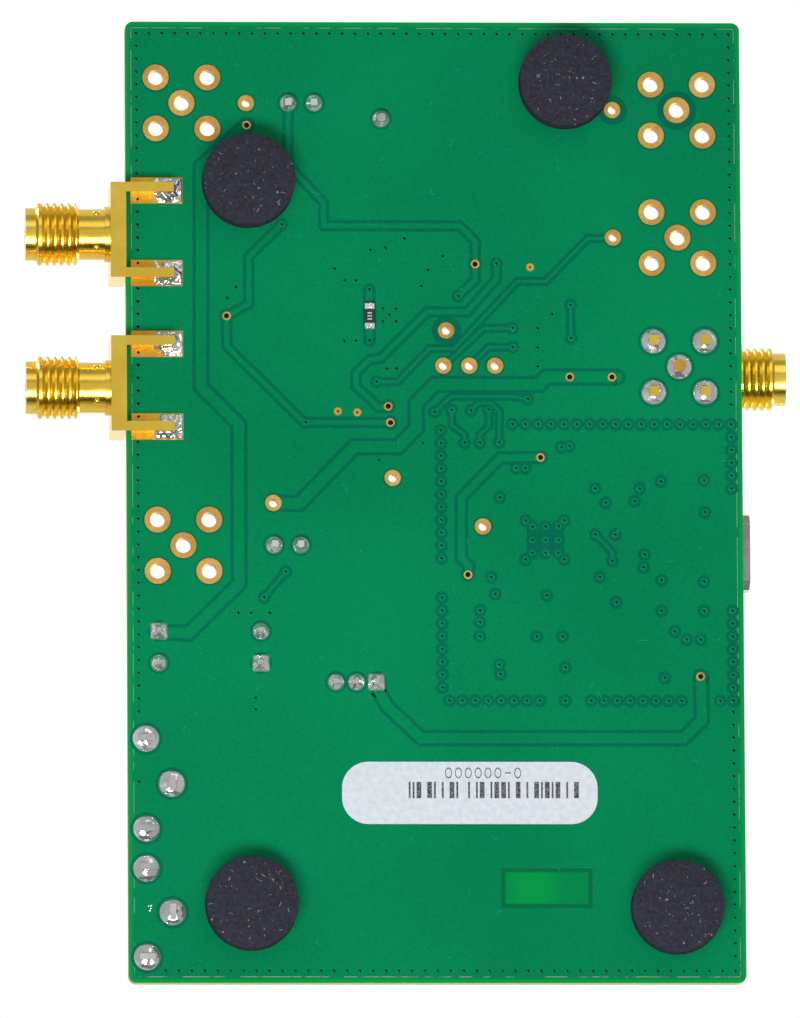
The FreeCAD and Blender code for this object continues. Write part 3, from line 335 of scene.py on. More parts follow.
def ring(shape, x, y, inner, outer, height, sides=32):
    """A flat ring, open in the middle."""
    at = Matrix.Translation(spot(x, y, height))
    made = bmesh.ops.create_circle(shape, segments=sides, radius=outer * MM, matrix=at)["verts"]
    rim_edges = {edge for vertex in made for edge in vertex.link_edges}
    inside = vertices_in(bmesh.ops.extrude_edge_only(shape, edges=list(rim_edges))["geom"])
    share = inner / outer
    bmesh.ops.scale(shape, verts=inside, vec=(share, share, 1), space=at.inverted())


def sink(shape, side):
    """Gives flat copper its thickness: the outer face stays, and a wall goes down into the board.

    The side is 1 on the upper face and -1 on the underside.
    """
    face_outwards(shape)
    outer = set(vertices_in(bmesh.ops.extrude_face_region(shape, geom=shape.faces[:])["geom"]))
    inner = [vertex for vertex in shape.verts if vertex not in outer]
    bmesh.ops.translate(shape, verts=inner, vec=(0, 0, -side * FOIL))
    face_outwards(shape)


def layer(name, shape, finish, side=-1):
    """Sinks a flat shape into that side of the board, or into what it lies on, and makes its piece."""
    sink(shape, side)
    piece(name, shape, finish, smooth=False)


bare_mask = mask_finish("mask_over_laminate", tint(0, 96, 72), tint(0, 110, 82))
copper_mask = mask_finish("mask_over_track", MASK_LOW, MASK_HIGH)

# The rounded end of a track is left out near an open test hole, because it would cover the hole.
TEST_SPOTS = [
    (18.42, 39.51), (-17.71, 26.17), (-0.91, 13.44), (-3.44, 13.45), (-5.98, 13.44), (4.17, 2.29),
    (15.88, -0.19), (-4.71, -2.50),
]
OPEN_HOLE_REACH = 1.5
gaps = bmesh.new()
tracks = bmesh.new()
for order, (width, route) in enumerate(TRACKS):
    strip(gaps, route, width + 2 * CLEARANCE, below(1 + TRACK_STEP * order))
    strip(tracks, route, width, below(6 + TRACK_STEP * order))
    for x, y in (route[0], route[-1]):
        if min(math.dist((x, y), hole) for hole in TEST_SPOTS) < OPEN_HOLE_REACH:
            continue
        disc(gaps, x, y, width / 2 + CLEARANCE, below(1.05 + TRACK_STEP * order))
        disc(tracks, x, y, width / 2, below(6.05 + TRACK_STEP * order))

# ----------------------------------------
# The plated vias: small drilled holes joining the copper layers. Those near a track or in the fence
# round the controller stand in a ring of bare laminate; the row along the board's rim has none. Each hole
# is a flat dark disc of painted shadow, and on the underside a small painted highlight sits beside it.


def two_tone(name, scale, detail, edges, first, second, **settings):
    """A finish that drifts between two shades. Edges, where given, are where the drift starts and ends."""
    finish = Finish(name, **settings)
    drift = finish.place.noise(scale, detail)
    if edges:
        drift = drift.between(*edges)
    finish.feed("Base Color", drift.mix(first, second))
    return finish


def run(start, step, count):
    """Places in a row, a step apart."""
    return [(start[0] + step[0] * index, start[1] + step[1] * index) for index in range(count)]


FENCE_STEP = 1.27
fence = [
    *run((-7.65, 7.65), (-FENCE_STEP, 0), 17),
    *run((-29.2, 7.65), (0, -FENCE_STEP), 6),
    *run((-29.2, -10.84), (0, -FENCE_STEP), 8),
    *run((-0.6, 7.03), (0, -FENCE_STEP), 11),
    *run((-0.62, -9.57), (0, -FENCE_STEP), 8),
    *run((-1.29, -19.76), (-FENCE_STEP, 0), 8),
    (-12.69, -19.76),
    *run((-15.23, -19.76), (-FENCE_STEP, 0), 8),
    (-27.92, -19.76),
    (-29.27, -19.76),
]
ringed = [
    (-12.46, 5.37), (-13.25, 5.48), (-7.98, 3.28), (-8.90, 3.28), (-6.38, 0.37), (-15.76, 1.27),
    (-16.78, -0.13), (-20.14, 1.27), (-19.64, 0.02), (-22.24, 1.97), (-26.49, 2.10), (-26.55, -1.06),
    (-17.71, -3.31), (-20.58, -5.25), (-20.47, -6.54), (-22.23, -7.80), (-16.17, -7.51), (-26.41, -7.93),
    (-5.48, -7.52), (-5.87, -9.20), (-10.93, -9.34), (-17.77, -10.00), (-22.21, -10.85), (-26.41, -10.85),
    (-4.35, -10.83), (-4.34, -11.99), (-4.33, -13.41), (-9.92, -13.40), (-12.46, -13.40),
    (-23.49, -12.89), (-24.68, -13.69), (-26.05, -13.69), (-6.23, -16.20), (-6.33, -17.12),
    (-12.71, -16.47), (-22.48, -17.47), (-15.75, -3.3), (-17.4, -5.9), (-2.95, 5.8), (-4.45, 5.8),
    (-6.35, 5.85), (-1.7, 9.05), (-3.6, 9.0), (-5.35, 9.1), (0.0, 8.85), (-9.2, 10.15), (-13.45, 19.5),
    (-13.5, 16.2), (-7.75, 17.2), (-7.75, 15.3), (14.95, 27.45), (-6.2, 23.6), (14.25, 33.4),
    (5.7, 11.85), (14.7, -7.0), (16.85, -9.55), (-2.4, 20.35), (12.7, 7.8),
]
thermal = [
    (-8.91, -1.91), (-12.71, -1.90), (-9.57, -2.53), (-10.85, -2.53), (-12.13, -2.48), (-9.56, -3.84),
    (-10.84, -3.84), (-12.12, -3.84), (-9.55, -5.11), (-10.83, -5.11), (-12.07, -5.11), (-8.88, -5.78),
    (-12.68, -5.77),
]
loose = [
    (2.88, 26.07), (4.74, 25.14), (6.22, 24.94), (-0.91, 24.31), (9.75, 23.04), (0.59, 22.93),
    (8.76, 21.88), (7.69, 21.88), (1.26, 21.33), (19.50, 21.21), (20.36, 20.13), (5.03, 19.12),
    (3.75, 19.08), (4.40, 18.48), (5.04, 17.83), (3.74, 17.83), (8.85, 15.88), (7.70, 15.89),
    (4.68, 13.13), (3.74, 13.14), (-11.63, 18.58), (-10.19, 17.17), (-10.17, 15.25), (-10.18, 13.36),
    (1.20, 5.75), (5.48, 4.05), (19.4, -11.1), (18.15, -11.1), (16.3, -11.1), (17.75, -19.5),
    (17.75, -20.65), (29.2, -27.8), (6.35, 21.0), (6.35, 15.9),
]
RIM_X = 29.2
RIM_Y = 46.45
rim = [
    *run((-RIM_X, RIM_Y), (FENCE_STEP, 0), 47),
    *run((-RIM_X, -RIM_Y), (FENCE_STEP, 0), 45),
    *run((RIM_X, RIM_Y - FENCE_STEP), (0, -FENCE_STEP), 53),
    *run((-RIM_X, RIM_Y - FENCE_STEP), (0, -FENCE_STEP), 72),
]
USB_GAP = (-10.5, 1.0)
FENCE_REACH = 0.9
rim = [(x, y) for x, y in rim if x > -29 or not USB_GAP[0] < y < USB_GAP[1]]
rim = [(x, y) for x, y in rim if all(math.dist((x, y), other) > FENCE_REACH for other in fence)]
RING = 0.65
PAD = 0.35
HOLE = 0.14
HOLE_SIDES = 10
VIA_STEP = 0.15
VIA_STEPS = 7
JACK_LANDS = (6.4, 31.9)
holes = bmesh.new()
glints = bmesh.new()
for order, (x, y) in enumerate(fence + ringed + thermal):
    disc(gaps, x, y, RING, below(3.2 + VIA_STEP * (order % VIA_STEPS)))
    disc(tracks, x, y, PAD, below(8.5 + VIA_STEP * (order % VIA_STEPS)))
land_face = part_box("edge_jack_lands")[0].z
# Rim vias that come through a jack's land get their disc of painted hole shadow on the land's face.
for x, y in rim:
    if x > 29 and JACK_LANDS[0] < y < JACK_LANDS[1]:
        disc(holes, x - 0.1, y, HOLE, land_face - SKIN, HOLE_SIDES)
# Each open via: a dark disc of painted shadow in its hole, and beside it a small painted highlight.
for x, y in fence + ringed + thermal + loose + rim:
    disc(holes, x, y, HOLE, below(10), HOLE_SIDES)
    disc(glints, x + 0.07, y - 0.08, 0.035, below(11), 6)
strip(gaps, [(-9.0, -3.84), (-12.7, -3.84)], 2.9, below(2.5))

# The painted shadow inside the via holes, and the painted highlight of their glints.
hole_shadow_shades = (tint(0, 8, 4), tint(4, 32, 20))
via_hole_shadow = two_tone("via_hole_shadow", 3000.0, 2.0, None, *hole_shadow_shades, Roughness=0.6, Specular_IOR_Level=0.1)
via_glint = two_tone("via_glint", 4000.0, 2.0, None, tint(60, 150, 110), tint(150, 205, 180), Roughness=0.3)

# Bare laminate rings round the larger pads and holes that come later.
SPARE_CENTRES = [(24.75, 39.5), (-24.05, 38.9), (-24.05, 26.2), (24.75, -4.4)]
PITCH = 5.08
SPARE_RING = (1.2, 1.44)
TEST_RING = (0.7, 0.97)
VIA_RING = (0.36, 0.72)
PIN_RING = (0.5, 1.08)
SOCKET_RING = (0.8, 1.6)
REFERENCE_RING = (0.8, 1.5)
REFERENCE_CENTRE = (-24.15, 13.4)
TEST_POINT = (5.1, 38.0)
WIDE_RINGS = [(-24.05, 38.9, 1.4, 1.93), (-17.72, 38.88, 0.7, 1.45), (-1.22, 16.95, 0.7, 1.48)]


def jack_footprint(x, y):
    """The middle contact of a coaxial jack, after its four ground posts."""
    posts = [(x + a * PITCH / 2, y + b * PITCH / 2) for a in (-1, 1) for b in (-1, 1)]
    return [*posts, (x, y)]


SPARE_HOLES = [hole for x, y in SPARE_CENTRES for hole in jack_footprint(x, y)]
for x, y in SPARE_HOLES:
    ring(gaps, x, y, *SPARE_RING, below(0.5))
for x, y, inner, outer in WIDE_RINGS:
    ring(gaps, x, y, inner, outer, below(0.7))
for x, y in TEST_SPOTS:
    ring(gaps, x, y, *TEST_RING, below(4.5))
GOLD_VIAS = [
    (20.41, 18.36), (-4.08, 23.54), (4.54, 9.41), (-10.41, 4.36), (-3.19, -7.27), (-26.03, -17.34),
    (4.33, 7.78), (18.35, 37.32), (-13.34, 12.34), (-17.51, 12.35),
]
# Each gold via: a ring of bare laminate, and a dark disc of painted shadow in its hole.
for x, y in GOLD_VIAS:
    ring(gaps, x, y, *VIA_RING, below(4.6), 24)
    disc(holes, x, y, 0.26, below(13.5), 16)
PIN_SPOTS = [
    (14.25, 39.55), (11.7, 39.55), (15.85, -4.36), (13.2, -4.36), TEST_POINT, (27.2, -12.89),
    (27.2, -16.05), (17.18, -12.89), (17.18, -16.04), (9.83, -17.91), (7.82, -17.91), (5.85, -17.91),
]
for order, (x, y) in enumerate(PIN_SPOTS):
    ring(gaps, x, y, *PIN_RING, below(4.7 + 0.2 * (order % 4)))
SOCKET_SPOTS = [
    (28.5, -23.51), (26.0, -27.98), (28.5, -32.41), (28.5, -36.34), (25.96, -40.66), (28.47, -45.08),
]
for x, y in SOCKET_SPOTS:
    ring(gaps, x, y, *SOCKET_RING, below(4.8))
REFERENCE_SPOTS = jack_footprint(*REFERENCE_CENTRE)
for x, y in REFERENCE_SPOTS:
    ring(gaps, x, y, *REFERENCE_RING, below(4.9))

layer("underside_clearances", gaps, bare_mask)
layer("underside_tracks", tracks, copper_mask)
layer("underside_via_hole_shadows", holes, via_hole_shadow)
layer("underside_via_glints", glints, via_glint)

# ----------------------------------------
# The upper face's copper, as it shows through the mask: the same clearances and vias come up here, with
# the tracks that join the parts, and the white outlines printed round the larger parts.
upper_gaps = bmesh.new()
upper_tracks = bmesh.new()
upper_holes = bmesh.new()
UPPER_TRACKS = [
    (0.5, [(11.0, 20.6), (8.0, 20.6), (7.0, 19.6)]),
    (0.5, [(13.4, 20.6), (18.2, 20.6), (22.2, 26.7), (27.6, 26.7)]),
    (0.5, [(10.0, 15.5), (16.2, 15.5), (20.2, 11.46), (27.6, 11.46)]), (0.5, [(8.3, 15.5), (7.0, 17.0)]),
    (0.3, [(-27.0, -4.2), (-15.2, -4.2)]), (0.3, [(-27.0, -4.9), (-15.2, -4.9)]),
    (0.4, [REFERENCE_CENTRE, (-15.6, 13.4)]), (0.4, [(-9.4, 14.4), (-4.6, 19.2), (1.2, 19.2)]),
    (0.3, [(-9.4, -11.6), (-9.4, -8.4)]), (0.3, [(-12.3, -11.6), (-12.3, -8.4)]),
    (0.3, [(-6.4, -4.2), (-2.4, -4.2), (1.2, -0.6), (1.2, 14.4)]),
    (0.3, [(-6.4, -5.0), (-2.2, -5.0), (2.0, -0.8), (2.0, 14.4)]),
    (0.3, [(-6.4, -5.8), (-2.0, -5.8), (2.8, -1.0), (2.8, 14.4)]), (0.3, [(-5.2, -12.5), (-6.8, -8.6)]),
    (1.6, [(19.8, -28.0), (12.2, -28.0), (12.2, -19.8)]), (1.2, [(5.9, -17.9), (2.6, -19.5)]),
    (1.2, [(27.2, -12.9), (24.0, -9.4), (17.2, -9.4), (17.2, -12.9)]),
    (0.9, [(14.2, 27.0), (14.2, 33.0), (11.7, 39.5)]), (0.8, [(17.5, 22.7), (15.0, 18.4), (9.2, 17.2)]),
    (0.8, [(13.2, -4.4), (8.0, -2.0), (5.8, 4.0), (5.8, 14.2)]), (0.3, [(-20.4, 0.4), (-18.0, 0.4)]),
    (0.3, [(-20.4, -7.5), (-15.4, -7.5)]), (0.3, [(-21.0, -9.6), (-15.0, -8.2)]),
]
for order, (width, route) in enumerate(UPPER_TRACKS):
    strip(upper_gaps, route, width + 2 * CLEARANCE, above(1 + TRACK_STEP * order))
    strip(upper_tracks, route, width, above(5 + TRACK_STEP * order))
for order, (x, y) in enumerate(fence + ringed + thermal):
    disc(upper_gaps, x, y, RING * 0.85, above(3.5 + VIA_STEP * (order % VIA_STEPS)))
    disc(upper_tracks, x, y, PAD, above(8.5 + VIA_STEP * (order % VIA_STEPS)))
# Painted shadow in the via holes on the upper face.
for x, y in fence + ringed + thermal + loose + rim:
    disc(upper_holes, x, y, HOLE, above(10), HOLE_SIDES)
for x, y in SPARE_HOLES:
    ring(upper_gaps, x, y, *SPARE_RING, above(0.5))
for x, y in TEST_SPOTS:
    ring(upper_gaps, x, y, *TEST_RING, above(4.8))
layer("upper_clearances", upper_gaps, bare_mask, 1)
layer("upper_tracks", upper_tracks, copper_mask, 1)
layer("upper_via_hole_shadows", upper_holes, via_hole_shadow, 1)

INK_WIDE = 0.17
INK_LEVEL = above(12)
legend = bmesh.new()


def ink_line(x0, y0, x1, y1):
    """One printed stroke."""
    strip(legend, [(x0, y0), (x1, y1)], INK_WIDE, INK_LEVEL)


def outline_box(x0, x1, y0, y1, gap=0.0):
    """A printed rectangle, or only its four corners where gap, the open share of each side, is given."""
    half_ink = INK_WIDE / 2
    for fixed in (y0, y1):
        reach = (x1 - x0) * (1 - gap) / 2
        ink_line(x0 - half_ink, fixed, x0 + reach, fixed)
        ink_line(x1 - reach, fixed, x1 + half_ink, fixed)
    for fixed in (x0, x1):
        reach = (y1 - y0) * (1 - gap) / 2
        ink_line(fixed, y0, fixed, y0 + reach)
        ink_line(fixed, y1 - reach, fixed, y1)


def in_board_mm(node):
    """A node's lowest and highest x, then y, in millimetres from the board's middle."""
    low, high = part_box(node)
    low, high = (low - board_middle) / MM, (high - board_middle) / MM
    return low.x, high.x, low.y, high.y


OUTLINED = [
    "jumper_a_base", "jumper_b_base", "power_switch_cover", "power_socket_negative_housing",
    "power_socket_positive_housing",
]
LEGEND_X = (-29.4, 29.9)
CAN_OUTLINE = 2.8
TEST_POINT_OUTLINE = 1.75
for node in OUTLINED:
    x0, x1, y0, y1 = in_board_mm(node)
    outline_box(x0 - 0.4, min(x1 + 0.4, LEGEND_X[1]), y0 - 0.4, y1 + 0.4)
for node in ("controller_chip_body", "synthesizer_chip_body"):
    x0, x1, y0, y1 = in_board_mm(node)
    outline_box(x0 - 0.6, x1 + 0.6, y0 - 0.6, y1 + 0.6, 0.7)
    disc(legend, x0 - 1.0, y1 + 1.0, 0.22, INK_LEVEL)
for x, y in [(-2.6, -12.5), (12.2, 24.8), (17.5, 24.8), (0.5, -19.5)]:
    outline_box(x - 2.2, x + 2.2, y - 2.7, y + 2.7, 0.5)
    disc(legend, x - 2.6, y + 2.4, 0.2, INK_LEVEL)
for x, y in SPARE_CENTRES:
    outline_box(x - 3.9, x + 3.9, y - 3.9, y + 3.9, 0.55)
x0, x1, y0, y1 = in_board_mm("reference_jack_body")
outline_box(LEGEND_X[0], x1 + 0.5, y0 - 0.5, y1 + 0.5)
for node in ("capacitor_a_can", "capacitor_b_can"):
    x0, x1, y0, y1 = in_board_mm(node)
    can_row = (y0 + y1) / 2
    ring(legend, (x0 + x1) / 2, can_row, CAN_OUTLINE, CAN_OUTLINE + INK_WIDE, INK_LEVEL, 48)
    ink_line(x0 - 1.3, can_row, x0 - 0.5, can_row)
    ink_line(x0 - 0.9, can_row - 0.4, x0 - 0.9, can_row + 0.4)
ring(legend, *TEST_POINT, TEST_POINT_OUTLINE, TEST_POINT_OUTLINE + INK_WIDE, INK_LEVEL, 40)
legend_shades = (tint(196, 214, 206), tint(236, 240, 236))
legend_ink = two_tone("legend_ink", 2600.0, 3.0, (0.3, 0.6), *legend_shades, Roughness=0.6)
layer("legend_outlines", legend, legend_ink, 1)

# ----------------------------------------
# The holes: spare jack footprints, test holes and open vias, drilled through the board and plated with
# gold over nickel. Three more vias have only a bare gold pad round a very small hole.


def metal_finish(name, colour, deep, roughness, grain=2500.0, depth=0.004):
    """Bright metal with fine pits, faint handling marks and patches of duller shade."""
    finish = Finish(name, Metallic=1.0)
    pits = finish.place.noise(grain, 2.0)
    patches = finish.place.noise(260.0, 3.0)
    finish.feed("Base Color", (patches * 0.7 + pits * 0.3).between(0.3, 0.72).mix(deep, colour))
    finish.feed("Roughness", roughness + (patches - 0.5) * 0.16 + (pits - 0.5) * 0.08)
    finish.bump(pits + patches * 0.5, depth * MM)
    return finish


pad_gold = metal_finish("gold_on_pads", tint(224, 180, 96), tint(196, 150, 72), 0.46)
dress(["spare_jack_holes", "test_holes", "trace_vias"], pad_gold)
BARE_VIAS = [(-9.51, 23.25), (9.5, 8.9), (7.6, 8.8)]
bare_pads = bmesh.new()
bare_mouths = bmesh.new()
# Each bare via: a gold pad, and a dark disc of painted shadow in its very small hole.
for x, y in BARE_VIAS:
    ring(bare_pads, x, y, 0.11, 0.39, below(9), 24)
    disc(bare_mouths, x, y, 0.13, below(8.9), 12)
layer("bare_via_hole_shadows", bare_mouths, via_hole_shadow)
layer("bare_via_pads", bare_pads, pad_gold)

# ----------------------------------------
# Four stick-on feet, die-cut from rubber sheet: flat discs with a slightly soft rim. Their faces have
# picked up dust and short fibres.
FOOT_SPOTS = [(-13.0, 41.5), (18.25, 31.6), (18.25, -39.95), (-23.5, -40.3)]
FOOT_RADIUS = 4.55
FOOT_TALL = 2.8

rubber = Finish("foot_rubber", Roughness=0.9, Specular_IOR_Level=0.1)
mottle = rubber.place.noise(2600.0, 3.0, 0.7)
warmth = rubber.place.noise(700.0, 3.0).between(0.35, 0.65)
dust = rubber.place.cells(1500.0).between(0.22, 0.1)
sparse = rubber.place.noise(900.0, 2.0).between(0.56, 0.64)
specks = dust * sparse
base_shade = warmth.mix(tint(42, 38, 48), tint(40, 46, 58))
body_shade = (mottle.between(0.35, 0.7) * 0.5).mix(base_shade, tint(66, 66, 76))
rubber.feed("Base Color", (specks * 0.6).mix(body_shade, tint(170, 168, 166)))
rubber.bump(mottle + rubber.place.noise(5000.0, 1.0) * 0.5, 0.01 * MM)


def turn_profile(shape, x, y, profile, steps):
    """Spins a profile of points, millimetres out and heights in metres, about an upright axis."""
    corners = [shape.verts.new(spot(x + out, y, height)) for out, height in profile]
    edges = [shape.edges.new(pair) for pair in zip(corners, corners[1:])]
    around = {"cent": spot(x, y, 0), "axis": (0, 0, 1), "angle": math.tau, "use_merge": True}
    bmesh.ops.spin(shape, geom=corners + edges, steps=steps, **around)


foot_side = [(0, 0.02), (FOOT_RADIUS - 0.16, 0.02), (FOOT_RADIUS - 0.05, 0.07), (FOOT_RADIUS, 0.2)]
foot_side += [(FOOT_RADIUS - 0.04, FOOT_TALL / 2), (FOOT_RADIUS, FOOT_TALL - 0.2)]
foot_side += [(FOOT_RADIUS - 0.05, FOOT_TALL), (0, FOOT_TALL)]
feet = bmesh.new()
for x, y in FOOT_SPOTS:
    turn_profile(feet, x, y, [(out, height * MM) for out, height in foot_side], 96)
bmesh.ops.remove_doubles(feet, verts=feet.verts[:], dist=0.001 * MM)
face_outwards(feet)
feet_piece = piece("rubber_feet_pads", feet, rubber, nodes=["rubber_feet"])
feet_piece.data.set_sharp_from_angle(angle=math.radians(35))

# ----------------------------------------
# The stick-on label: white paper cut with round ends, stuck flat on the mask. A row of bars is printed
# on it, with a row of plain rings and one dash above them.
paper = Finish("label_paper", Roughness=0.6)
pulp = paper.place.noise(1800.0, 4.0)
paper.feed("Base Color", pulp.between(0.25, 0.75).mix(tint(198, 205, 212), tint(213, 220, 227)))
paper.bump(pulp, 0.006 * MM)
dress(["part_label"], paper)

PRINT_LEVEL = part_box("part_label")[0].z - SKIN
BAR_LOW, BAR_HIGH = -29.4, -27.78
MARK_ROW = -26.9
MARK_STROKE = 0.13
ink_shades = (tint(36, 40, 42), tint(120, 124, 130))
ink = two_tone("label_ink", 7000.0, 1.0, (0.42, 0.62), *ink_shades, Roughness=0.7)

# Each digit is a thick bar, 2, a thin bar, 1, or a thin space, 0. They encode nothing.
THICK, THIN, BAR_GAP = 0.47, 0.19, 0.194
BARS = "2010212120102012210210100120101202110"
bars = bmesh.new()
bar_start = -13.95
for code in BARS:
    width = THICK if code == "2" else THIN
    if code != "0":
        middle = bar_start + width / 2
        strip(bars, [(middle, BAR_LOW), (middle, BAR_HIGH)], width, PRINT_LEVEL)
    bar_start += width + BAR_GAP
for index in range(8):
    mark_x = -7.95 + index * 0.97
    if index == 1:
        strip(bars, [(mark_x - 0.3, MARK_ROW), (mark_x + 0.3, MARK_ROW)], MARK_STROKE, PRINT_LEVEL)
        continue
    before = set(bars.verts)
    ring(bars, mark_x, MARK_ROW, 0.42, 0.55, PRINT_LEVEL, 16)
    fresh = [vertex for vertex in bars.verts if vertex not in before]
    bmesh.ops.scale(bars, verts=fresh, vec=(0.62, 1, 1), space=Matrix.Translation(-spot(mark_x, 0, 0)))
layer("label_print", bars, ink)

# ----------------------------------------
# Lint and handling marks: short fibres that have stuck to the rubber feet, and the fine pale scratches
# that handling leaves in the mask.
chance = random.Random(11)


def lint(shape, x, y, length, width, height):
    """One short curved fibre or scratch, lying flat."""
    turn = chance.uniform(0, math.tau)
    bend = chance.uniform(-0.9, 0.9)
    route = [(x, y)]
    for part in range(3):
        last_x, last_y = route[-1]
        heading = turn + bend * part
        route.append((last_x + length / 3 * math.cos(heading), last_y + length / 3 * math.sin(heading)))
    strip(shape, route, width, height)


FIBRES_A_FOOT = 48
FIBRE_WIDE = 0.042
fibres = bmesh.new()
for x, y in FOOT_SPOTS:
    for index in range(FIBRES_A_FOOT):
        reach = FOOT_RADIUS * 0.9 * math.sqrt(chance.random())
        turn = chance.uniform(0, math.tau)
        size = chance.choice((0.08, 0.1, 0.14, 0.3, 0.45))
        lint(fibres, x + reach * math.cos(turn), y + reach * math.sin(turn), size, FIBRE_WIDE, 0.013 * MM)
lint_shades = (tint(84, 82, 84), tint(168, 164, 160))
lint_finish = two_tone("lint", 1600.0, 2.0, (0.35, 0.65), *lint_shades, Roughness=0.9)
layer("foot_lint", fibres, lint_finish)

SCRATCHES = 190
SCRATCH_WIDE = 0.045
scratches = bmesh.new()
for index in range(SCRATCHES):
    x = chance.uniform(-29, 29)
    y = chance.uniform(-46, 46)
    lint(scratches, x, y, chance.choice((0.15, 0.3, 0.45, 0.9)), SCRATCH_WIDE, below(12))
scratch_look = {"Roughness": 0.5, "Specular_IOR_Level": 0.1}
scratch_shades = (tint(0, 148, 104), tint(24, 172, 140))
scratch_finish = two_tone("mask_scratch", 2500.0, 2.0, (0.4, 0.6), *scratch_shades, **scratch_look)
layer("underside_scratches", scratches, scratch_finish)

# ----------------------------------------
# The window in the copper, where the mask lies on bare laminate and a painted glow stands for the light
# that comes through the board, and a painted highlight: the thin bright line where the copper ends along
# the board's edges.
WINDOW_X = (-15.27, -6.26)
WINDOW_ROW = -38.25
WINDOW_TALL = 3.9
WINDOW_DEPTH = 0.045
window = bmesh.new()
window_ends = [(WINDOW_X[0] + 0.02, WINDOW_ROW), (WINDOW_X[1] - 0.02, WINDOW_ROW)]
strip(window, window_ends, WINDOW_TALL, UNDER + WINDOW_DEPTH * MM)
window_finish = Finish("window_mask", Roughness=0.45, Specular_IOR_Level=0.04)
window_x = window_finish.place.axis(0)
window_y = window_finish.place.axis(1)
window_middle = spot(sum(WINDOW_X) / 2, WINDOW_ROW, 0)
near_side = abs(window_x - window_middle.x).between(3.98 * MM, 4.16 * MM)
near_end = abs(window_y - window_middle.y).between(1.46 * MM, 1.64 * MM)
border = near_side.larger(near_end)
# A painted glow of the light that comes through the board, brightest a little off the window's middle.
glow = abs(window_x - (window_middle.x + 1.4 * MM)).between(4.2 * MM, 0.5 * MM)
stipple = window_finish.place.noise(3200.0, 1.0)
glow_shade = (glow * 0.7 + (stipple - 0.5) * 0.6).between(0.0, 1.0)
clear_shade = glow_shade.mix(tint(0, 126, 70), tint(0, 146, 62))
window_finish.feed("Base Color", border.mix(clear_shade, tint(0, 104, 64)))
layer("copper_window", window, window_finish)

EDGE_HIGHLIGHT_X = 29.72
EDGE_HIGHLIGHT_Y = 47.02
# The painted highlight along the copper's edges: thin strips that run from dark green to a pale bright
# green.
edge_highlight_strips = bmesh.new()
strip(edge_highlight_strips, [(-29.7, -EDGE_HIGHLIGHT_Y), (29.7, -EDGE_HIGHLIGHT_Y)], 0.07, below(1))
strip(edge_highlight_strips, [(EDGE_HIGHLIGHT_X, -46.9), (EDGE_HIGHLIGHT_X, 46.9)], 0.05, below(1))
strip(edge_highlight_strips, [(-EDGE_HIGHLIGHT_X, -46.9), (-EDGE_HIGHLIGHT_X, 46.9)], 0.05, below(1))
strip(edge_highlight_strips, [(-29.7, EDGE_HIGHLIGHT_Y), (29.7, EDGE_HIGHLIGHT_Y)], 0.05, below(1))
edge_highlight_look = {"Roughness": 0.4, "Specular_IOR_Level": 0.1}
edge_highlight_shades = (tint(0, 118, 72), tint(126, 168, 120))
edge_highlight_finish = two_tone("copper_edge_highlight", 520.0, 3.0, (0.44, 0.54), *edge_highlight_shades, **edge_highlight_look)
layer("copper_edge_highlights", edge_highlight_strips, edge_highlight_finish)

# ----------------------------------------
# The two edge-launch output jacks: each a turned and milled brass body with a U-shaped flange that
# straddles the board's edge, plated with bright gold, with four crimp dots round its neck. The
# right-angle reference jack, the spring contacts and the white insulators are finished here too.
jack_gold = metal_finish("jack_gold", tint(255, 222, 96), tint(244, 202, 70), 0.2, 3500.0, 0.002)
dress(["output_jack_a_body", "output_jack_b_body"], jack_gold)
dress(["reference_jack_body", "reference_jack_rear_cap"], jack_gold)
contact_gold = metal_finish("contact_gold", tint(244, 200, 104), tint(220, 170, 70), 0.28)
dress(["output_jack_a_contact", "output_jack_b_contact", "reference_jack_contact"], contact_gold)
dress(["jumper_a_shunt_clip", "jumper_b_shunt_clip", "usb_contacts"], contact_gold)
white_plastic = Finish("insulator_white", Roughness=0.4)
cloud = white_plastic.place.noise(900.0, 3.0)
white_plastic.feed("Base Color", cloud.mix(tint(226, 226, 220), tint(244, 244, 240)))
white_plastic.bump(white_plastic.place.noise(4000.0), 0.003 * MM)
dress(["output_jack_a_insulator", "output_jack_b_insulator", "reference_jack_insulator"], white_plastic)

NECK_RADIUS = 2.5
CRIMP_ANGLES = (-40, 50, 140, 230)
CRIMP_REACH = 2.85
CRIMP_RADIUS = 0.33
for letter in "ab":
    low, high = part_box(f"output_jack_{letter}_contact")
    axis_y = (low.y + high.y) / 2
    axis_z = (low.z + high.z) / 2
    crimps = bmesh.new()
    for angle in CRIMP_ANGLES:
        turn = math.radians(angle)
        out = Vector((0, math.sin(turn), -math.cos(turn)))
        centre = Vector((board_high.x + CRIMP_REACH * MM, axis_y, axis_z)) + out * NECK_RADIUS * MM
        flat = Matrix.Diagonal((1, 1, 0.6, 1))
        facing_out = out.to_track_quat("Z", "X").to_matrix().to_4x4()
        place = Matrix.Translation(centre) @ facing_out @ flat
        around = {"u_segments": 20, "v_segments": 12, "matrix": place}
        bmesh.ops.create_uvsphere(crimps, radius=CRIMP_RADIUS * MM, **around)
    piece(f"output_jack_{letter}_crimp_dots", crimps, jack_gold)

# ----------------------------------------
# The lands of the output jacks, gold plated, and the solder drawn by hand along the flange's legs:
# it wets the inner half of each land and climbs the sides of the leg.
land_gold = metal_finish("gold_on_lands", tint(246, 190, 62), tint(212, 150, 52), 0.36)
dress(["edge_jack_lands"], land_gold)


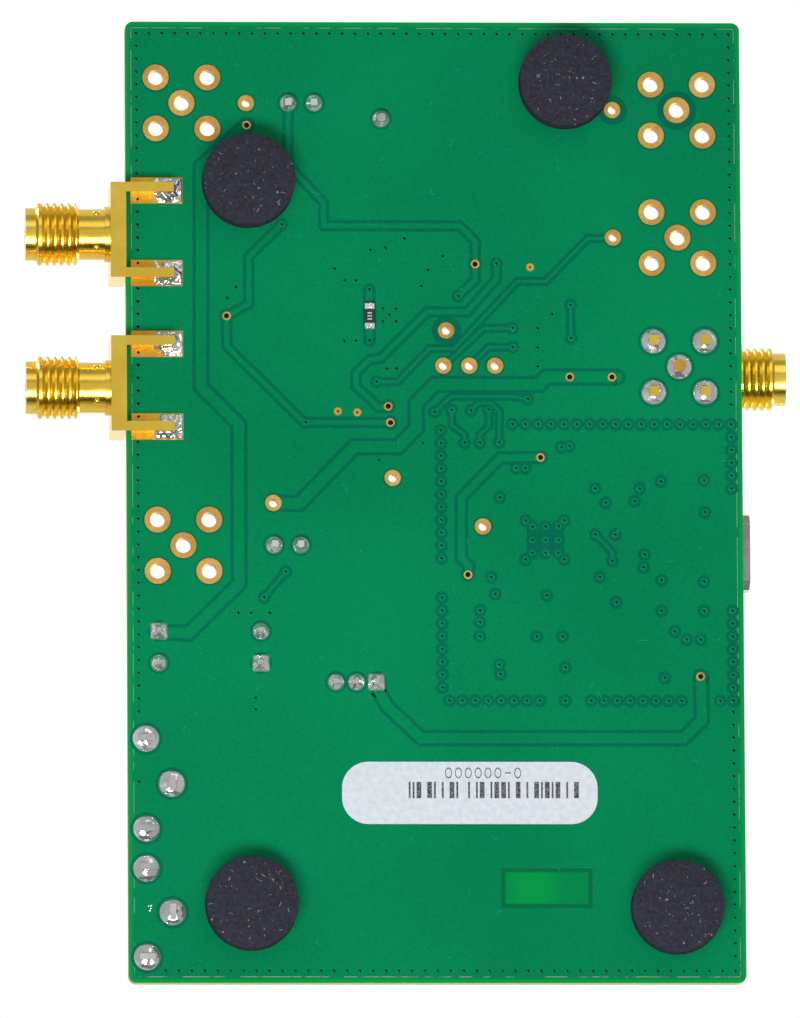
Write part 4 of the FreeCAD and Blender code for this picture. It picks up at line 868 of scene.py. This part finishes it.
def solder_finish(name, bright, dull, bump_depth):
    """Frozen solder: bright and rippled, with frosted patches."""
    finish = Finish(name, Metallic=0.85)
    ripple = finish.place.noise(1300.0, 3.0)
    frost = finish.place.noise(500.0, 3.0)
    finish.feed("Base Color", frost.between(0.3, 0.7).mix(dull, bright))
    finish.feed("Roughness", 0.05 + frost.between(0.4, 0.75) * 0.3)
    finish.bump(ripple + frost * 0.8, bump_depth * MM)
    return finish


solder = solder_finish("solder", tint(250, 250, 250), tint(214, 218, 216), 0.05)
rough_solder = solder_finish("hand_solder", tint(244, 244, 246), tint(186, 190, 194), 0.02)
dress(["passive_ends"], solder)

# Each land's row, and how far the leg on it stands off the land's middle. The pool is thickest beside
# the leg, thins towards the board's edge past the wetted length, and ends in an uneven rim.
LEGS = ((30.8, 0.15), (22.6, -0.15), (15.56, 0.15), (7.36, -0.15))
LEG_HALF_WIDE = 0.475
LEG_TIP = 25.6
POOL_X = 26.15
POOL_HALF_X = 1.42
POOL_HALF_Y = 1.24
POOL_RIM = 0.12
POOL_TOP = 0.54
WETTED_X = 26.5
pools = bmesh.new()
for row, shift in LEGS:
    for side, land in ((-1, land_face), (1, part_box("edge_jack_lands")[1].z)):
        root = land - side * 0.03 * MM
        at = Matrix.Translation(spot(POOL_X, row, root)) @ Matrix.Diagonal((POOL_HALF_X, POOL_HALF_Y, 1, 1))
        base = bmesh.ops.create_grid(pools, x_segments=42, y_segments=38, size=MM, matrix=at)["verts"]
        base_faces = list({face for vertex in base for face in vertex.link_faces})
        for vertex in vertices_in(bmesh.ops.extrude_face_region(pools, geom=base_faces)["geom"]):
            x = (vertex.co.x - board_middle.x) / MM
            y = (vertex.co.y - board_middle.y) / MM
            from_leg = max(abs(y - row - shift) - LEG_HALF_WIDE, 0) + max(LEG_TIP - x, 0)
            to_rim = min(x - POOL_X + POOL_HALF_X, POOL_HALF_Y - abs(y - row))
            swirl = noise.noise(Vector((x * 2.0, y * 2.0, row + side)))
            fine = noise.noise(Vector((x * 5.5, y * 5.5, row + side * 7.0)))
            outward = max(x - WETTED_X, 0) * 0.3
            tall = 0.12 + 0.36 * math.exp(-from_leg / 0.28) + 0.24 * swirl + 0.02 * fine - outward
            tall = min(tall * min(to_rim / POOL_RIM, 1), POOL_TOP)
            vertex.co.z = land + side * max(tall, -0.02) * MM
face_outwards(pools)
piece("edge_jack_solder_fillets", pools, rough_solder, nodes=["edge_jack_solder"])

# ----------------------------------------
# The solder joints of the parts with wire leads: a small mound on each pad, round or square, with the
# trimmed end of the lead standing up in it.


def mound(shape, x, y, radius, tall, lead, square=False):
    """A joint of that radius and height round a lead of radius lead. A square one fills a square pad."""
    profile = [(0, -0.03), (radius, -0.03), (radius, 0.04), (radius * 0.95, 0.22 * tall)]
    profile += [(radius * 0.8, 0.48 * tall), (radius * 0.58, 0.7 * tall)]
    profile += [(lead + 0.1, 0.86 * tall), (lead + 0.02, 0.94 * tall)]
    profile += [(lead, tall + 0.08), (lead * 0.72, tall + 0.17), (0, tall + 0.2)]
    before = set(shape.verts)
    turn_profile(shape, x, y, [(out, UNDER - height * MM) for out, height in profile], 28)
    fresh = [vertex for vertex in shape.verts if vertex not in before]
    lean = Vector((chance.uniform(-0.16, 0.16), chance.uniform(-0.05, 0.16), 0))
    seed = chance.uniform(0, 50)
    middle = spot(x, y, UNDER)
    for vertex in fresh:
        offset = (vertex.co - middle) / MM
        level = min(max(-offset.z / tall, 0), 1)
        flat = math.hypot(offset.x, offset.y)
        if square and flat > 0:
            corner = flat / max(abs(offset.x), abs(offset.y))
            stretch = min(corner, 1.3) - 1
            offset.x *= 1 + stretch * (1 - level)
            offset.y *= 1 + stretch * (1 - level)
        wobble = noise.noise(Vector((offset.x * 1.6 + seed, offset.y * 1.6, level)))
        offset += lean * level
        offset.z -= wobble * 0.16 * min(level * 3, 1) * min(1, flat / lead)
        vertex.co = middle + offset * MM
    bmesh.ops.remove_doubles(shape, verts=fresh, dist=0.0005 * MM)


MOUND_TALL = 0.72
SQUARE_PADS = [(27.2, -12.89), (17.18, -16.04), (5.85, -17.91)]
small_joints = bmesh.new()
for x, y in PIN_SPOTS:
    lead = 0.3 if y < -10 else 0.38
    mound(small_joints, x, y, 0.86, MOUND_TALL, lead, (x, y) in SQUARE_PADS)
face_outwards(small_joints)
piece("small_joint_mounds", small_joints, solder, nodes=["small_solder_joints"])

large_joints = bmesh.new()
for x, y in SOCKET_SPOTS:
    mound(large_joints, x, y, 1.34, MOUND_TALL, 0.3)
    tab_half_x, tab_half_y = (0.46, 0.2) if x > 27 else (0.2, 0.46)
    tab_end = Matrix.Diagonal((tab_half_x, tab_half_y, 0.1, 1))
    tip = Matrix.Translation(spot(x, y - 0.1, UNDER - 0.7 * MM)) @ tab_end
    bmesh.ops.create_uvsphere(large_joints, u_segments=18, v_segments=10, radius=MM, matrix=tip)
for x, y in REFERENCE_SPOTS:
    mound(large_joints, x, y, 1.25, MOUND_TALL, 0.46)
face_outwards(large_joints)
piece("large_joint_mounds", large_joints, solder, nodes=["large_solder_joints"])

splashes = bmesh.new()
SPLASH_PLACES = [(28.1, -40.3), (28.3, -40.05), (28.05, -40.0), (28.2, -40.5), (21.0, 33.9), (21.05, 34.05)]
for x, y in SPLASH_PLACES:
    bead = Matrix.Translation(spot(x, y, UNDER)) @ Matrix.Diagonal((0.14, 0.1, 0.07, 1))
    bmesh.ops.create_icosphere(splashes, subdivisions=2, radius=MM, matrix=bead)
piece("solder_splashes", splashes, solder)

# ----------------------------------------
# Parts whose shape the frame already has are given softened edges here: each copy is merged from the
# frame's loose triangles, and its sharp edges get a small round.


def softened(node, finish, width, segments=2, joined=True):
    """A copy of a node with rounds of that width. Joined first merges the triangles of flat faces."""
    source = frame["nodes"][node]
    body = body_of(source)
    body = body if isinstance(body, str) else body[0]
    shape = bmesh.new()
    shape.from_mesh(source.data)
    bmesh.ops.remove_doubles(shape, verts=shape.verts[:], dist=0.0005 * MM)
    if joined:
        flat = {"angle_limit": math.radians(2), "delimit": {"NORMAL"}}
        bmesh.ops.dissolve_limit(shape, verts=shape.verts[:], edges=shape.edges[:], **flat)
    made = piece(node + "_finished", shape, finish, body=body, nodes=[node])
    rounding = made.modifiers.new("edge_round", "BEVEL")
    rounding.width = width * MM
    rounding.segments = segments
    rounding.limit_method = "ANGLE"
    rounding.angle_limit = math.radians(35)
    rounding.use_clamp_overlap = joined
    made.data.set_sharp_from_angle(angle=math.radians(40))


# ----------------------------------------
# Stamped steel: the USB socket's folded shell, the bent cover of the slide switch, and the drawn cans
# of the crystals. The sheet is thin, so its edges are only just rounded.
steel = metal_finish("stamped_steel", tint(178, 178, 174), tint(140, 140, 138), 0.3)
softened("usb_shell", steel, 0.08)
softened("power_switch_cover", steel, 0.1)
softened("crystal_cans", steel, 0.2)

# ----------------------------------------
# Moulded plastics: the power sockets, the header bases and shunts, the slide switch, the USB tongue
# and the test point's bead. All come from polished moulds, so only a fine texture is left on them.


def moulded(name, dark, light, roughness=0.5):
    """Coloured plastic, rubber or resin with a fine texture and faint flow marks."""
    finish = Finish(name)
    texture = finish.place.noise(2400.0, 3.0)
    flow = finish.place.noise(180.0, 2.0)
    finish.feed("Base Color", (texture * 0.4 + flow * 0.6).between(0.3, 0.7).mix(dark, light))
    finish.feed("Roughness", roughness + (texture - 0.5) * 0.2)
    finish.bump(texture, 0.012 * MM)
    return finish


black = moulded("black_plastic", tint(22, 22, 24), tint(34, 34, 37))
red = moulded("red_plastic", tint(150, 16, 18), tint(182, 26, 26), 0.42)
blue = moulded("blue_plastic", tint(20, 66, 150), tint(28, 84, 178), 0.42)
softened("power_socket_negative_housing", black, 0.3, 3)
softened("power_socket_positive_housing", red, 0.3, 3)
for letter in "ab":
    softened(f"jumper_{letter}_base", black, 0.12)
    softened(f"jumper_{letter}_shunt_cap", blue, 0.09, joined=False)
softened("power_switch_base", black, 0.08)
softened("power_switch_slider", black, 0.12)
dress(["usb_tongue"], black)
softened("test_point_bead", red, 0.2, 3)

# ----------------------------------------
# Tinned metal: leads and spring contacts. The header pins are gold above the board, and their
# soldered ends below it have taken on tin.
tin = metal_finish("tin_plate", tint(214, 214, 210), tint(180, 180, 178), 0.34)
dress(["power_socket_negative_contact", "power_socket_positive_contact", "power_switch_bridge"], tin)
dress(["power_switch_terminals", "capacitor_a_leads", "capacitor_b_leads", "test_point_loop"], tin)
dress(["controller_chip_leads", "synthesizer_chip_leads", "small_chip_leads"], tin)

pin_gold = Finish("pin_gold_tinned_end", Metallic=1.0)
pin_height = pin_gold.place.axis(2)
tinned = (pin_height + (pin_gold.place.noise(2500.0) - 0.5) * 0.4 * MM).between(UNDER + 0.3 * MM, UNDER)
drawn = pin_gold.place.noise(1800.0, 3.0)
gold_shade = drawn.mix(tint(226, 176, 76), tint(248, 206, 110))
pin_gold.feed("Base Color", tinned.mix(gold_shade, tint(232, 234, 232)))
pin_gold.feed("Roughness", 0.2 + drawn * 0.16)
pin_gold.bump(drawn, 0.004 * MM)
dress(["jumper_a_pins", "jumper_b_pins"], pin_gold)

# ----------------------------------------
# The two aluminium electrolytic capacitors: each a drawn can in a dark sleeve with a pale stripe, on a
# rubber seal. The top is bare metal, scored with a cross so that it opens if the pressure rises.
CAN_MIDDLE = 19.71 * MM
CAN_OFFSET = 5.0 * MM
CAN_Y = -14.45 * MM
can_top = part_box("capacitor_a_can")[1].z
cans = metal_finish("can_in_sleeve", tint(224, 226, 228), tint(196, 198, 202), 0.32)
bare = cans.fed("Base Color")
from_can_x = abs(cans.place.axis(0) - CAN_MIDDLE) - CAN_OFFSET
from_can_y = cans.place.axis(1) - CAN_Y
can_level = cans.place.axis(2)
off_axis = cans.place.maths("SQRT", from_can_x * from_can_x + from_can_y * from_can_y)
past_edge = off_axis.between(2.12 * MM, 2.2 * MM)
sleeved = past_edge.larger(can_level.between(can_top - 0.25 * MM, can_top - 0.3 * MM))
stripe = from_can_x.between(1.9 * MM, 2.0 * MM)
print_wear = cans.place.noise(1500.0, 3.0)
sleeve_shade = print_wear.mix(tint(18, 20, 30), tint(30, 33, 46))
sleeve_colour = stripe.mix(sleeve_shade, tint(168, 174, 184))
cans.feed("Base Color", sleeved.mix(bare, sleeve_colour))
cans.feed("Metallic", 1 - sleeved)
score_x = abs(from_can_x).between(0.16 * MM, 0.08 * MM)
score = score_x.larger(abs(from_can_y).between(0.16 * MM, 0.08 * MM))
score_near = off_axis.between(1.75 * MM, 1.6 * MM)
cans.bump(1 - score * score_near * (1 - sleeved), 0.08 * MM)
for letter in "ab":
    softened(f"capacitor_{letter}_can", cans, 0.25, 3)
seal = moulded("seal_rubber", tint(30, 30, 30), tint(42, 42, 42), 0.8)
dress(["capacitor_a_seal", "capacitor_b_seal"], seal)

# ----------------------------------------
# Chips and small parts, soldered flat: the chips and the underside resistor are moulded or coated in
# black epoxy, the small passives are pale ceramic, and the indicator lights are clear resin.
epoxy = moulded("chip_epoxy", tint(26, 26, 27), tint(38, 38, 40), 0.55)
for node in ("controller_chip_body", "synthesizer_chip_body", "small_chip_bodies"):
    softened(node, epoxy, 0.08)
softened("underside_resistor", epoxy, 0.05)
resistor_low, resistor_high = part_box("underside_resistor")
resistor_x = ((resistor_low + resistor_high) / 2 - board_middle).x / MM
resistor_y = [(end - board_middle).y / MM for end in (resistor_low, resistor_high)]
resistor_ends = bmesh.new()
for end_y, outward in zip(resistor_y, (-1, 1)):
    for index in range(5):
        aside = chance.uniform(-0.24, 0.24)
        shift = Vector((aside, outward * chance.uniform(0.12, 0.52), chance.uniform(0, 0.08)))
        blob_at = spot(resistor_x + shift.x, end_y + shift.y, UNDER - (0.46 + shift.z) * MM)
        blob = Matrix.Translation(blob_at) @ Matrix.Diagonal((0.22, 0.15, 0.2, 1))
        bmesh.ops.create_icosphere(resistor_ends, subdivisions=3, radius=MM, matrix=blob)
piece("underside_resistor_solder", resistor_ends, solder)
marks = bmesh.new()
for index in range(3):
    mark_y = resistor_y[0] + 0.4 + index * 0.3
    strip(marks, [(resistor_x - 0.22, mark_y), (resistor_x + 0.22, mark_y)], 0.13, resistor_low.z - SKIN)
mark_shades = (tint(150, 150, 150), tint(222, 222, 220))
mark_ink = two_tone("resistor_mark", 4000.0, 2.0, None, *mark_shades, Roughness=0.7)
layer("underside_resistor_marks", marks, mark_ink)
ceramic = moulded("passive_ceramic", tint(150, 118, 84), tint(176, 142, 104), 0.5)
softened("passive_bodies", ceramic, 0.05)
lens = moulded("lamp_lens", tint(222, 226, 214), tint(238, 240, 230), 0.2)
softened("indicator_lights", lens, 0.08)

# ----------------------------------------
# The studio: a pale floor under the feet, seen from above only, lamps and a pale surround. The darker
# band low in the surround shapes the reflections in the solder and the gold.
floor_shades = (tint(226, 226, 226), tint(234, 234, 234))
floor_finish = two_tone("floor", 6.0, 3.0, None, *floor_shades, Roughness=0.7)
floor_nodes = floor_finish.tree.nodes
facing = floor_nodes.new("ShaderNodeNewGeometry").outputs["Backfacing"]
clear = floor_nodes.new("ShaderNodeBsdfTransparent")
two_sided = floor_nodes.new("ShaderNodeMixShader")
floor_finish.tree.links.new(facing, two_sided.inputs[0])
floor_finish.tree.links.new(floor_finish.shader.outputs[0], two_sided.inputs[1])
floor_finish.tree.links.new(clear.outputs[0], two_sided.inputs[2])
floor_finish.tree.links.new(two_sided.outputs[0], floor_nodes["Material Output"].inputs["Surface"])
floor_shape = bmesh.new()
bmesh.ops.create_grid(floor_shape, x_segments=8, y_segments=8, size=4.0)
floor_mesh = bpy.data.meshes.new("floor")
floor_shape.to_mesh(floor_mesh)
floor_shape.free()
floor_mesh.materials.append(floor_finish.material)
floor = bpy.data.objects.new("floor", floor_mesh)
bpy.context.scene.collection.objects.link(floor)
for ray in ("shadow", "diffuse", "glossy", "transmission"):
    setattr(floor, "visible_" + ray, False)

world = bpy.data.worlds.new("studio")
bpy.context.scene.world = world
world.use_nodes = True
sky = Wire(world.node_tree, world.node_tree.nodes.new("ShaderNodeTexCoord").outputs["Generated"])
sky_y = sky.axis(1)
sky_z = sky.axis(2)
overhead = sky_z.between(0.9, 0.985)
lower_half = sky_z.between(0.02, -0.12)
band = (sky_y.between(-0.66, -0.74)) * (1 - sky_y.between(-0.93, -0.97))
beneath = sky_z.between(-0.92, -0.97)
lower_light = 0.36 - band * 0.33 + beneath * 0.26
upper_light = 0.72 + overhead * 0.33
light_level = lower_half * lower_light + (1 - lower_half) * upper_light
backdrop = world.node_tree.nodes["Background"]
backdrop.inputs["Color"].default_value = (1, 1, 1, 1)
world.node_tree.links.new(light_level.socket, backdrop.inputs["Strength"])


def lamp(name, direction, distance, width, length, power):
    """A soft box that far from the board, aimed at its middle."""
    data = bpy.data.lights.new(name, "AREA")
    data.shape = "RECTANGLE"
    data.size = width
    data.size_y = length
    data.energy = power
    made = bpy.data.objects.new(name, data)
    away = Vector(direction).normalized()
    made.location = board_middle + away * distance
    made.rotation_euler = away.to_track_quat("Z", "Y").to_euler()
    bpy.context.scene.collection.objects.link(made)


lamp("key_below", (0.16, -0.5, -0.85), 0.8, 0.55, 0.24, 5.4)
lamp("fill_below", (-0.3, 0.6, -0.75), 0.9, 0.7, 0.5, 0.9)
lamp("key_above", (-0.5, -0.55, 0.75), 0.9, 0.5, 0.5, 7.0)
lamp("rim_above", (0.6, 0.5, 0.6), 0.9, 0.4, 0.4, 4.0)

# The camera looks straight up at the underside from two metres below, turned a few degrees.
FOCAL_LENGTH = 773.3
CAMERA_TURNS = (-0.1372, 0.0533, -0.0015)
CAMERA_REACH = Vector((3.4357, 0.7621, -2147.77)) * MM
camera_data = bpy.data.cameras.new("camera")
camera_data.lens = FOCAL_LENGTH
camera_data.sensor_width = 36.0
camera_data.clip_start = 0.1
camera_data.clip_end = 20.0
camera = bpy.data.objects.new("camera", camera_data)
face_down = Matrix.Diagonal((-1, 1, -1))
turned = Euler(CAMERA_TURNS, "XYZ").to_matrix()
face_centre = Vector((board_middle.x, 0, UNDER))
camera_turn = face_down @ turned.transposed()
camera_place = face_down @ (turned.transposed() @ -CAMERA_REACH) + face_centre
camera.matrix_world = Matrix.Translation(camera_place) @ camera_turn.to_4x4()
bpy.context.scene.collection.objects.link(camera)
bpy.context.scene.camera = camera
bpy.context.scene.view_settings.view_transform = "Standard"
